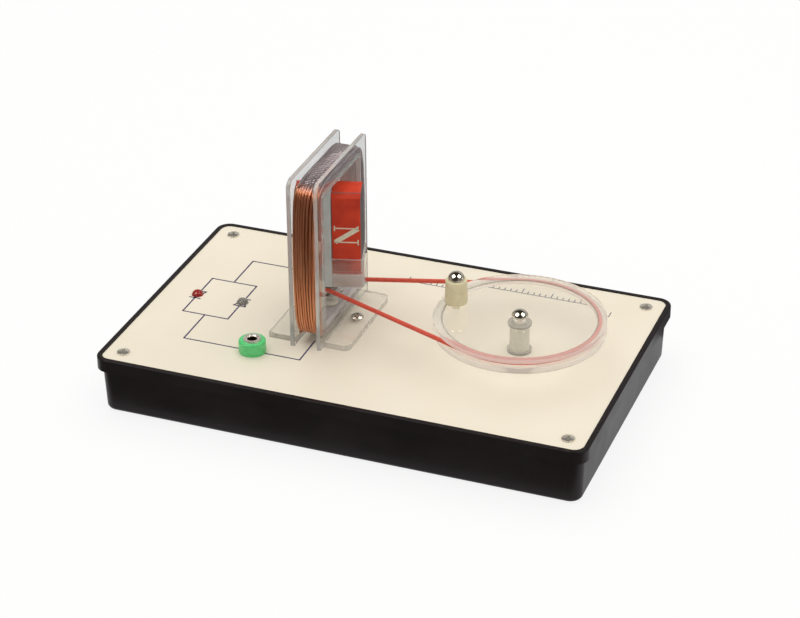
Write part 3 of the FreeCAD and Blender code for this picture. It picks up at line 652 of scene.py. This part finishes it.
random.seed(7)
COIL_AT = (-25.75, 0.3)
WIRE, FORMER_GAP = 0.5, 0.04
TURNS, PITCH, LAYERS, LAYER_STEP = 9, 1.03, 4, 0.86
HALF_WIDTH, COIL_LOW, COIL_HIGH, COIL_MID = 21.2, 30.6, 91.4, 61.0
UPRIGHT_AT = (42.0, 52.0, COIL_MID, 70.0, 80.0)
BELLY, BELLY_REACH = 2.4, 31.0
CORNER_LEAST, CORNER_MORE, CORNER_CUT = 2.5, 7.5, 1.9
LOOSE, LEAN, LEANING = 0.02, 0.22, 3
# How many wires deep a turn lies when its corners are rounded in full
FULL_EASE = 7


def turn_points(x_front, x_back, depth, loose, belly, slant):
    """The points of one turn: up the front, over the top, down the back and under.
    Slant is how far the turn leans along the coil on its way up. An outer turn rounds the
    corners more widely than an inner one."""
    points = []
    ease = depth / WIRE / FULL_EASE
    reach, inset = CORNER_LEAST + CORNER_MORE * ease, CORNER_CUT * ease

    def put(x, y, z):
        """Add a point, moved a little at random."""
        points.append(
            (
                x + random.uniform(-loose, loose),
                COIL_AT[1] + y + random.uniform(-loose, loose) * 0.5,
                z + random.uniform(-loose, loose) * 0.5,
            )
        )

    def bulge(z):
        """How far the turn stands out at a height."""
        return belly * max(0.0, 1 - ((z - COIL_MID) / BELLY_REACH) ** 2)

    out = HALF_WIDTH + depth
    low, high = COIL_LOW - depth, COIL_HIGH + depth
    heights = [low + reach, *UPRIGHT_AT, high - reach]
    across = [reach / 2 / out, 0.35, 0.65, 1 - reach / 2 / out]
    x_low, x_front = x_front - slant, x_front + slant
    for z in heights:
        put(x_low + (x_front - x_low) * (z - low) / (high - low), -out - bulge(z), z)
    put(x_front, -out + inset, high - inset)
    for step in across:
        put(x_front + (x_back - x_front) * step, -out + 2 * out * step, high)
    put(x_back, out - inset, high - inset)
    for z in reversed(heights):
        put(x_back, out + bulge(z), z)
    put(x_back, out - inset, low + inset)
    for step in reversed(across):
        put(x_back, -out + 2 * out * step, low)
    put(x_back, -out + inset, low + inset)
    return points


wires = []
for layer in range(LAYERS):
    count = TURNS - layer % 2
    depth = WIRE + FORMER_GAP + LAYER_STEP * layer
    first = COIL_AT[0] - PITCH * (count - 1) / 2
    places = [first + PITCH * i for i in range(count)]
    if layer % 2:
        places.reverse()
    loose = LOOSE * (layer + 1)
    belly = BELLY * (layer + 1) / LAYERS
    points = []
    for i, x in enumerate(places):
        after = places[min(i + 1, count - 1)]
        lean = LEAN * max(0, LEANING - i) if layer == LAYERS - 1 else 0.0
        points += turn_points(x + lean, after, depth, loose, belly, lean)
    wires.append(points)

CROSSINGS, CROSS_FROM, CROSS_STEP, CROSS_LOOSE = 17, -20.5, 2.05, 0.3
CROWN, CROWN_FROM, CROWN_FALL = 95.0, 17, 0.0035
# Each point of a crossing wire: its x, then y and z from where the wire starts
CROSSING = [
    (-29.9, -1.2, -2.4), (-29.8, -0.6, -0.5), (-27.6, 1.2, 0.0), (-25.5, 3.1, 0.0),
    (-23.4, 5.0, 0.0), (-21.7, 6.6, -0.5), (-21.6, 7.0, -2.4),
]
for step in range(CROSSINGS):
    start = CROSS_FROM + CROSS_STEP * step + random.uniform(-CROSS_LOOSE, CROSS_LOOSE)
    top = CROWN - CROWN_FALL * (CROSS_STEP * step - CROWN_FROM) ** 2
    wires.append([(x, start + y, top + z) for x, y, z in CROSSING])
winding = tube("copper_winding", wires, WIRE)
settle(winding, "base", enamelled_copper, node="coil_winding", smooth=80)
dress(enamelled_copper, "coil_leads")

# ---- Bobbin feet ----
# Two strips of the same acrylic, one along each cheek, lie flat on the panel.
# A steel screw through the middle of each holds it down, with a nut under the panel.

thin_acrylic = acrylic(
    "thin_acrylic", (0.975, 0.975, 0.965), (0.99, 0.99, 0.98), clear=1, rough=(0.0, 0.04),
    lets_by=1.0,
)


def upright(a, b):
    """True for an edge that stands upright."""
    return abs(a.x - b.x) < 0.1 and abs(a.y - b.y) < 0.1 and abs(a.z - b.z) > 0.5


FOOT_FRONT, FOOT_BACK, FOOT_TOP, FOOT_CORNER = -22.4, 23.4, 26.6, 3.0
LEFT_SCREW_X, RIGHT_SCREW_X, FOOT_SCREW_Y, FOOT_HOLE = -37.5, -14.0, 1.1, 1.5
# The left strip keeps its front corner square
for name, x_low, x_high, outer_x, round_from, screw_x in (
    ("left_foot", -43.1, -32.3, -43.1, 0.0, LEFT_SCREW_X),
    ("right_foot", -19.2, -8.4, -8.4, FOOT_FRONT - 1, RIGHT_SCREW_X),
):
    foot = block(f"{name}_strip", (x_low, FOOT_FRONT, PANEL_TOP), (x_high, FOOT_BACK, FOOT_TOP))
    round_edges(
        foot,
        lambda a, b: upright(a, b) and abs(a.x - outer_x) < 0.1 and a.y > round_from,
        FOOT_CORNER, 8,
    )
    hole_rings = [(FOOT_HOLE, PANEL_TOP - 1), (FOOT_HOLE, FOOT_TOP + 1)]
    cut(foot, turned("hole", screw_x, FOOT_SCREW_Y, hole_rings, 32))
    break_edges(foot, SHEET_EDGE)
    two_finishes(foot, thin_acrylic, edge_acrylic, lambda n: abs(n.z) > 0.7)
    settle(foot, "base", node=name)

pattern = cross_screw("foot_screw", head=5.2, rise=1.7, shank=2.9, seat=FOOT_TOP, tip=17.5)
for index, (x, turn) in enumerate(((LEFT_SCREW_X, 15), (RIGHT_SCREW_X, 40))):
    screw = copy_to(pattern, f"foot_screw_{index + 1}", x, FOOT_SCREW_Y, turn)
    settle(screw, "base", screw_steel, node="foot_screws")
bpy.data.objects.remove(pattern)
dress(screw_steel, "foot_nuts")

# ---- Rotor ----
# A clear base block and cup on a steel spindle hold two red enamelled magnets,
# one each side of a clear post. The spindle runs in white nylon bushes in the former.

ROTOR_TURN = 16.8


def on_rotor(piece):
    """Turn a piece built square to the frame about the coil's axis, as the rotor rests."""
    centre = Vector((COIL_AT[0] * MM, COIL_AT[1] * MM, 0))
    piece.matrix_world = (
        Matrix.Translation(centre)
        @ Matrix.Rotation(math.radians(ROTOR_TURN), 4, "Z")
        @ Matrix.Translation(-centre)
    )


white_nylon = mottled(
    "white_nylon", 2, (0.72, 0.69, 0.58), (0.82, 0.79, 0.67), (0.32, 0.42),
    {
        "Subsurface Weight": 0.25,
        "Subsurface Radius": (0.001, 0.001, 0.0008),
        "Subsurface Scale": 1,
    },
)
spindle_steel = mottled(
    "spindle_steel", 0.4, (0.56, 0.56, 0.55), (0.68, 0.68, 0.67), (0.2, 0.34),
    METAL, stretch=(1, 1, 6),
)
dress(white_nylon, "lower_bush", "upper_bush")
dress(spindle_steel, "rotor_spindle")
dress(clear_acrylic, "rotor_pulley")

milky_acrylic = acrylic(
    "milky_acrylic", (0.58, 0.52, 0.48), (0.68, 0.61, 0.56), clear=0.5, rough=(0.15, 0.3)
)
frosted_acrylic = acrylic(
    "frosted_acrylic", (0.61, 0.64, 0.62), (0.70, 0.73, 0.71), clear=0.2, rough=(0.35, 0.5)
)
cup_acrylic = acrylic(
    "cup_acrylic", (0.82, 0.72, 0.66), (0.88, 0.78, 0.72), clear=0.9, rough=(0.02, 0.08)
)

POST_HALF, CUP_X, CUP_Y, CUP_CORNER, CUP_WALL, GLUE = 1.9, 14.9, 8.0, 1.2, 1.0, 0.02
FOOT_BLOCK_EDGE, CUP_EDGE, POST_EDGE = 0.45, 0.18, 0.2
BASE_LOW, CUP_LOW, CUP_FLOOR, CUP_TOP, MAGNET_TOP = 43.1, 49.0, 50.0, 55.7, 84.3


def beside_post(name, sign, near, far, reach_y, low, high):
    """A block on one side of the post, square to the frame until on_rotor turns it."""
    x, y = COIL_AT
    inner, outer = sorted((x + sign * near, x + sign * far))
    return block(name, (inner, y - reach_y, low), (outer, y + reach_y, high))


def flat_side(n):
    """True for the normal of a flat upright face."""
    return max(abs(n.x), abs(n.y)) > 0.98


for side, sign in (("north", 1), ("south", -1)):
    end_x = COIL_AT[0] + sign * CUP_X

    def at_end(a, b):
        """True for an upright edge at the rotor's end."""
        return upright(a, b) and abs(a.x - end_x) < 0.1

    near_x, inner_x, inner_y = POST_HALF + GLUE, CUP_X - CUP_WALL, CUP_Y - CUP_WALL
    foot_block = beside_post(
        f"{side}_foot_block", sign, near_x, CUP_X, CUP_Y, BASE_LOW, CUP_LOW - GLUE
    )
    round_edges(foot_block, at_end, CUP_CORNER, 6)
    break_edges(foot_block, FOOT_BLOCK_EDGE)
    two_finishes(foot_block, milky_acrylic, edge_acrylic, flat_side)
    on_rotor(foot_block)
    settle(foot_block, "rotor", node="rotor_base")

    tray = beside_post(f"{side}_magnet_tray", sign, near_x, CUP_X, CUP_Y, CUP_LOW, CUP_TOP)
    round_edges(tray, at_end, CUP_CORNER, 6)
    cut(tray, beside_post("hollow", sign, 0, inner_x, inner_y, CUP_FLOOR, CUP_TOP + 1))
    break_edges(tray, CUP_EDGE)
    two_finishes(tray, cup_acrylic, edge_acrylic, flat_side)
    on_rotor(tray)
    settle(tray, "rotor", node="magnet_cup")

x, y = COIL_AT
post_low, post_high = (x - POST_HALF, y - CUP_Y, BASE_LOW), (x + POST_HALF, y + CUP_Y, MAGNET_TOP)
post = block("post_bar", post_low, post_high)
break_edges(post, POST_EDGE)
on_rotor(post)
settle(post, "rotor", frosted_acrylic, node="centre_post")

magnet_red, shader, add = finish("magnet_red")
flow = speckle(add, 5, 4)
dust = speckle(add, 0.6)
link(shader, "Base Color", blend_of(add, flow, (0.53, 0.031, 0.008), (0.68, 0.047, 0.012)))
link(shader, "Roughness", spread(add, dust, 0.30, 0.42))
link(shader, "Normal", relief(add, flow, 0.15, 0.4))
hold(shader, {"Specular IOR Level": 0.3})

bare_ferrite, shader, add = finish("bare_ferrite")
flow = speckle(add, 1.0, 4)
link(shader, "Base Color", blend_of(add, flow, (0.105, 0.097, 0.102), (0.180, 0.168, 0.175)))
link(shader, "Roughness", spread(add, flow, 0.40, 0.55))
link(shader, "Normal", relief(add, flow, 0.05, 0.4))
hold(shader, {"Metallic": 0.3})


def enamelled(n):
    """True except on the bare ends, their corners and the worn edge along the top's chamfers."""
    return abs(n.x) < 0.5 and not 0.75 < n.z < 0.97


MAGNET_X, MAGNET_Y = CUP_X - CUP_WALL, 7
TOP_CHAMFER, MAGNET_CORNER, MAGNET_EDGE = 1.9, 0.5, 0.25
for name, sign in (("north_magnet", 1), ("south_magnet", -1)):
    magnet = beside_post(f"{name}_bar", sign, POST_HALF, MAGNET_X, MAGNET_Y, CUP_FLOOR, MAGNET_TOP)
    round_edges(
        magnet,
        lambda a, b: min(a.z, b.z) > MAGNET_TOP - 0.3 and abs(a.y - b.y) < 0.1,
        TOP_CHAMFER, 1,
    )
    round_edges(magnet, upright, MAGNET_CORNER, 2)
    break_edges(magnet, MAGNET_EDGE, segments=3, angle=35)
    two_finishes(magnet, magnet_red, bare_ferrite, enamelled)
    on_rotor(magnet)
    settle(magnet, "rotor", node=name)

# ---- Pole letters ----
# Plain white pole marks, an N and an S, painted on the magnets' enamel with a brush.
# They lie on their sides, the N on the rotor's front and the S on its back.

pole_white = mottled("pole_white", 0.7, (0.68, 0.60, 0.44), (0.80, 0.73, 0.58), (0.4, 0.55))

LETTER_X, LETTER_Z = 7.95, 66.2
PAINT, STROKE_MORE, STROKE_CORNER = 0.06, 0.3, 0.1
THIN, FULL, CURVE_THIN, CURVE_FULL = 0.5, 1.95, 0.9, 1.5
# In a letter's own frame, u runs from side to side on the magnet and v upwards
N_STROKES = [
    ((-4.6, 3.1), (4.8, 3.1), THIN),
    ((-4.8, -3.1), (4.6, -3.1), THIN),
    ((4.6, 3.0), (-4.4, -3.0), FULL),
    ((-4.7, 2.0), (-4.7, 4.1), THIN),
    ((4.7, -4.1), (4.7, -2.0), THIN),
    ((4.7, 2.7), (4.7, 4.1), THIN),
]
S_LINE = [
    (3.1, -3.3), (4.3, -2.6), (4.75, 0.0), (4.1, 2.6), (2.4, 3.3), (0.9, 2.2),
    (-0.6, -1.6), (-2.2, -3.2), (-4.0, -2.7), (-4.75, 0.0), (-4.3, 2.6), (-3.1, 3.3),
]
S_STROKES = [
    (a, b, CURVE_FULL if 3 < step < 8 else CURVE_THIN)
    for step, (a, b) in enumerate(zip(S_LINE, S_LINE[1:]))
]
S_STROKES += [((3.9, -3.5), (2.2, -3.5), THIN), ((-3.9, 3.5), (-2.2, 3.5), THIN)]


def painted(name, strokes, side):
    """A letter of flat strokes on the rotor's front face, or its back face where side is -1."""

    def stroke(a, b, width):
        """One brush stroke from a to b, as a flat bar on the magnet."""
        (au, av), (bu, bv) = a, b
        bpy.ops.mesh.primitive_cube_add(
            size=1,
            location=(
                (COIL_AT[0] + side * (LETTER_X + (au + bu) / 2)) * MM,
                (COIL_AT[1] - side * (MAGNET_Y + PAINT / 2)) * MM,
                (LETTER_Z + (av + bv) / 2) * MM,
            ),
            rotation=(0, -side * math.atan2(bv - av, bu - au), 0),
            scale=((math.hypot(bu - au, bv - av) + STROKE_MORE) * MM, PAINT * MM, width * MM),
        )

    def is_corner(a, b):
        """True for an edge through the paint's thickness."""
        return abs(a.y - b.y) > PAINT / 2

    letter = drawn(name, stroke, strokes, is_corner, STROKE_CORNER)
    on_rotor(letter)
    settle(letter, "rotor", pole_white)


painted("north_letter", N_STROKES, 1)
painted("south_letter", S_STROKES, -1)

# ---- Drive belt ----
# A round elastic cord, orange-red and satin, joined into a loop.
# It is stretched round the small pulley and the crank disc's groove.

belt_rubber = mottled(
    "belt_rubber", 1.5, (0.60, 0.070, 0.040), (0.74, 0.100, 0.058), (0.38, 0.5),
    {"Subsurface Weight": 0.1, "Subsurface Radius": (0.001, 0.0004, 0.0003)},
)
dress(belt_rubber, "drive_belt")

# ---- Hub ----
# Under the crank disc a nylon spacer stands between two smoky washers, and the disc turns on a
# nylon sleeve. A plain domed screw holds the stack, with a nut under the panel.

DISC_AT, DISC_HIGH = (56.5, -2.8), 43.1
dome_nickel = mottled(
    "dome_nickel", 1.5, (0.74, 0.71, 0.62), (0.82, 0.79, 0.71), (0.05, 0.10), METAL
)
smoky_washer = acrylic(
    "smoky_washer", (0.54, 0.51, 0.45), (0.66, 0.63, 0.56), clear=0.6, rough=(0.1, 0.2)
)
dress(white_nylon, "hub_spacer", "hub_sleeve")
dress(smoky_washer, "hub_foot_washer", "hub_top_washer")
dress(screw_steel, "hub_nut")
hub_screw = dome_screw(
    "hub_screw_domed", *DISC_AT, head=6.6, rise=2.6, shank=4.0, seat=DISC_HIGH + 0.2, tip=16.5
)
settle(hub_screw, "base", dome_nickel, node="hub_screw")

# ---- Crank disc ----
# A clear acrylic disc turned with a round groove in its rim for the belt.
# Its faces are polished and the groove keeps the frosting of the tool.

DISC_LOW, DISC_RIM, DISC_BORE, LOW_EDGE, TOP_EDGE = 36.9, 34.3, 2.55, 0.4, 0.25
GROOVE_AT, GROOVE_Z, GROOVE_R, MOUTH, MOUTH_EDGE = 31.5, 40.3, 1.0, 0.9, 0.15
GROOVE_STEPS, GROOVE_SWEEP, BAND_FROM = 8, 89, 30.3
turned_acrylic = acrylic(
    "turned_acrylic", (0.54, 0.52, 0.45), (0.60, 0.58, 0.51), clear=0.42, rough=(0.28, 0.38),
    lets_by=0.85, bend=1.08, gloss=0.1,
)
rim_acrylic = acrylic(
    "rim_acrylic", (0.95, 0.90, 0.85), (0.98, 0.93, 0.88), clear=0.65, rough=(0.12, 0.22),
    lets_by=1.0, bend=1.05, gloss=0.2,
)
under_acrylic = acrylic(
    "under_acrylic", (0.82, 0.78, 0.72), (0.86, 0.82, 0.76), clear=0.65, rough=(0.12, 0.22),
    lets_by=1.0, bend=1.05, gloss=0.1,
)
lower_rim = [
    (DISC_BORE, DISC_LOW), (BAND_FROM, DISC_LOW), (DISC_RIM - LOW_EDGE, DISC_LOW),
    (DISC_RIM - 0.1, DISC_LOW + 0.1), (DISC_RIM, DISC_LOW + LOW_EDGE),
    (DISC_RIM, GROOVE_Z - MOUTH - MOUTH_EDGE), (DISC_RIM - MOUTH_EDGE, GROOVE_Z - MOUTH),
]
groove = []
for step in range(-GROOVE_STEPS, GROOVE_STEPS + 1):
    angle = math.radians(GROOVE_SWEEP * step / GROOVE_STEPS)
    groove.append((GROOVE_AT - GROOVE_R * math.cos(angle), GROOVE_Z + GROOVE_R * math.sin(angle)))
upper_rim = [
    (DISC_RIM - MOUTH_EDGE, GROOVE_Z + MOUTH), (DISC_RIM, GROOVE_Z + MOUTH + MOUTH_EDGE),
    (DISC_RIM, DISC_HIGH - TOP_EDGE), (DISC_RIM - 0.07, DISC_HIGH - 0.07),
    (DISC_RIM - TOP_EDGE, DISC_HIGH), (DISC_BORE, DISC_HIGH),
]
disc = turned("crank_wheel", *DISC_AT, lower_rim + groove + upper_rim, 180, bored=True)
disc_finishes = (thin_acrylic, turned_acrylic, rim_acrylic, under_acrylic)
FACE, FROSTED, RIM, UNDER_BAND = range(4)
for material in disc_finishes:
    disc.data.materials.append(material)
for polygon in disc.data.polygons:
    radius, height = off_axis(polygon, *DISC_AT), polygon.center.z / MM
    faces_up = polygon.normal.z
    at_low_edge = radius > DISC_RIM - 0.5 and height < DISC_LOW + 0.3 and faces_up > -0.99
    in_groove = radius > BAND_FROM - 0.1 and abs(height - GROOVE_Z) < MOUTH + 0.01
    if at_low_edge or in_groove:
        polygon.material_index = FROSTED
    elif faces_up < -0.9 and radius > BAND_FROM - 0.1:
        polygon.material_index = UNDER_BAND
    elif abs(faces_up) < 0.9:
        polygon.material_index = RIM
    else:
        polygon.material_index = FACE
settle(disc, "crank", node="crank_disc")

# ---- Crank knob ----
# A small off-white knob turned from nylon, a little narrower towards its top.
# It turns on a domed steel screw set in the disc.

KNOB_AT, KNOB_LOW, KNOB_TOP, KNOB_BORE = (29.4, -1.5), 43.3, 53.8, 1.8
knob_nylon = mottled(
    "knob_nylon", 3, (0.70, 0.63, 0.40), (0.80, 0.73, 0.49), (0.35, 0.45),
    {
        "Subsurface Weight": 0.3,
        "Subsurface Radius": (0.0015, 0.0012, 0.0006),
        "Subsurface Scale": 1,
    },
)
knob_rings = [
    (KNOB_BORE, KNOB_LOW), (3.95, KNOB_LOW), (4.25, 43.42), (4.46, 43.7), (4.56, 44.1),
    (4.58, 44.6), (4.46, 49.0), (4.32, 52.6), (4.28, 53.2), (4.15, 53.6), (3.9, KNOB_TOP),
    (KNOB_BORE, KNOB_TOP),
]
knob = turned("knob_grip", *KNOB_AT, knob_rings, 64, bored=True)
settle(knob, "knob", knob_nylon, node="crank_knob")
knob_screw = dome_screw(
    "knob_screw_domed", *KNOB_AT, head=6.6, rise=3.1, shank=3.5, seat=KNOB_TOP + 0.2, tip=37.6
)
settle(knob_screw, "crank", dome_nickel, node="knob_screw")

# ---- Hook-up wires ----
# Four plastic-covered wires under the panel join the sockets, coil leads and diodes.
# They are soldered at their ends and hang a little between them.

wire_insulation = mottled("wire_insulation", 3, (0.20, 0.20, 0.22), (0.28, 0.28, 0.30), (0.4, 0.55))
dress(wire_insulation, "front_coil_wire", "rear_coil_wire", "front_led_wire", "rear_led_wire")

# ---- Floor, lamps and camera ----
# A plain pale floor under a white surround and one broad soft lamp above and a little behind.
# Round them stand cards and softboxes that only polished things show, as in a dim studio.


def seen_white(add):
    """1 for rays from the camera, a reflection or glass, and 0 for those that light things
    or come through glass after a reflection."""
    path = add("ShaderNodeLightPath").outputs

    def work_out(operation, first, second):
        """The result of one Math node."""
        return add("ShaderNodeMath", {0: first, 1: second}, operation=operation).outputs[0]

    plain = work_out("MAXIMUM", path["Is Camera Ray"], path["Is Glossy Ray"])
    direct = work_out("LESS_THAN", path["Glossy Depth"], 0.5)
    glass = work_out("MULTIPLY", path["Is Transmission Ray"], direct)
    return work_out("MAXIMUM", plain, glass)


FLOOR_SIZE, FLOOR_Z, FLOOR_GLOW = 8, -0.0002, 0.85
floor_pale, shader, add = finish("floor_pale")
hold(shader, {"Base Color": (0.9, 0.9, 0.9, 1), "Roughness": 0.9, "Specular IOR Level": 0.0})
glow = add("ShaderNodeEmission", {"Color": (1, 1, 1, 1), "Strength": 1.0})
share = add("ShaderNodeMath", {0: seen_white(add), 1: FLOOR_GLOW}, operation="MULTIPLY")
show_mix(floor_pale.node_tree, share.outputs[0], shader.outputs["BSDF"], glow.outputs["Emission"])
bpy.ops.mesh.primitive_plane_add(size=FLOOR_SIZE, location=(0, 0, FLOOR_Z))
floor = bpy.context.object
floor.name = "floor"
floor.data.materials.append(floor_pale)

CARD_DARK, CARD_WALL = (0.045, 0.038, 0.026), (0.16, 0.15, 0.13)
CARD_FLOOR, CARD_FAR = (0.13, 0.12, 0.11), (0.20, 0.185, 0.19)
CARD_GREY, CARD_REAR = (0.31, 0.275, 0.275), (0.45, 0.43, 0.41)
SOFTBOX, SIDE_LIGHT = (4.6, 4.5, 4.3), (1.4, 1.36, 1.26)
MIDDLE = (0.04, 0.0, 0.05)
# Each card's name, glow, width and height, where it is and what it faces, in metres
for name, glow_colour, width, height, place, target in (
    ("floor_card", CARD_FLOOR, 2.0, 2.0, (0, -1.066, 0.0003), (0, -1.066, 1)),
    ("side_card", CARD_GREY, 1.6, 2.4, (0.96, 0.0, 0.0004), (0.96, 0.0, 1)),
    ("far_card", CARD_FAR, 2.0, 2.0, (0, 1.072, 0.0003), (0, 1.072, 1)),
    ("near_card", CARD_FAR, 1.6, 2.4, (-0.96, 0.0, 0.0004), (-0.96, 0.0, 1)),
    ("front_card", CARD_DARK, 3.4, 1.5, (0, -1.75, 0.75), (0, 0, 0.75)),
    ("rear_card", CARD_REAR, 3.4, 1.3, (0, 1.7, 0.65), (0, 0, 0.65)),
    ("left_card", CARD_WALL, 3.4, 1.5, (-1.75, 0, 0.75), (0, 0, 0.75)),
    ("right_card", CARD_WALL, 3.4, 1.5, (1.75, 0, 0.75), (0, 0, 0.75)),
    ("overhead_card", CARD_DARK, 3.6, 3.6, (0, 0, 1.5), (0, 0, 0)),
    ("left_softbox", SOFTBOX, 0.86, 0.78, (-0.532, -0.49, 1.04), MIDDLE),
    ("right_softbox", SOFTBOX, 0.86, 0.78, (0.812, 0.017, 1.034), MIDDLE),
    ("left_light", SIDE_LIGHT, 0.45, 0.45, (-1.6, -0.56, 0.24), MIDDLE),
    ("right_light", SIDE_LIGHT, 0.45, 0.45, (1.6, 0.65, 0.24), MIDDLE),
):
    card_face, shader, add = finish(name)
    depth = add("ShaderNodeLightPath").outputs["Glossy Depth"]
    reflected = add("ShaderNodeMath", {0: depth, 1: 0.5}, operation="GREATER_THAN").outputs[0]
    glow = add("ShaderNodeEmission", {"Color": (*glow_colour, 1), "Strength": 1.0})
    through = add("ShaderNodeBsdfTransparent", {"Color": (1, 1, 1, 1)})
    show_mix(card_face.node_tree, reflected, through.outputs["BSDF"], glow.outputs["Emission"])
    facing = (Vector(target) - Vector(place)).to_track_quat("Z", "Y").to_euler()
    bpy.ops.mesh.primitive_plane_add(size=1, location=place, rotation=facing)
    card = bpy.context.object
    card.name = name
    card.scale = (width, height, 1)
    card.data.materials.append(card_face)
    card.visible_camera = False
    card.visible_diffuse = False
    card.visible_shadow = False

world = bpy.data.worlds.new("surround")
bpy.context.scene.world = world
world.use_nodes = True
add = node_adder(world.node_tree)
lighting = world.node_tree.nodes["Background"]
hold(lighting, {"Color": (1.0, 0.99, 0.97, 1), "Strength": 0.45})
shown = add("ShaderNodeBackground", {"Color": (1, 1, 1, 1), "Strength": 1.0})
show_mix(world.node_tree, seen_white(add), lighting.outputs[0], shown.outputs[0])

LAMP_AT, LAMP_TARGET = Vector((0.0, 0.15, 1.1)), Vector((0, 0, 0.03))
bpy.ops.object.light_add(type="AREA", location=LAMP_AT)
lamp = bpy.context.object
lamp.name = "overhead_lamp"
lamp.data.shape = "SQUARE"
lamp.data.size = 1.6
lamp.data.energy = 13.3
lamp.data.color = (1.0, 0.99, 0.965)
lamp.visible_glossy = False
lamp.rotation_euler = (LAMP_TARGET - lamp.location).to_track_quat("-Z", "Y").to_euler()

bpy.ops.object.camera_add()
camera = bpy.context.object
camera.name = "camera"
camera.data.sensor_width = 36
camera.data.lens = 110.72
camera.data.clip_start = 0.01
camera.matrix_world = Matrix(
    (
        (0.935311, -0.169843, 0.310396, 0.312109),
        (0.353791, 0.461232, -0.813693, -0.805186),
        (-0.004965, 0.870872, 0.491485, 0.520973),
        (0, 0, 0, 1),
    )
)
bpy.context.scene.camera = camera
bpy.context.scene.view_settings.view_transform = "Standard"
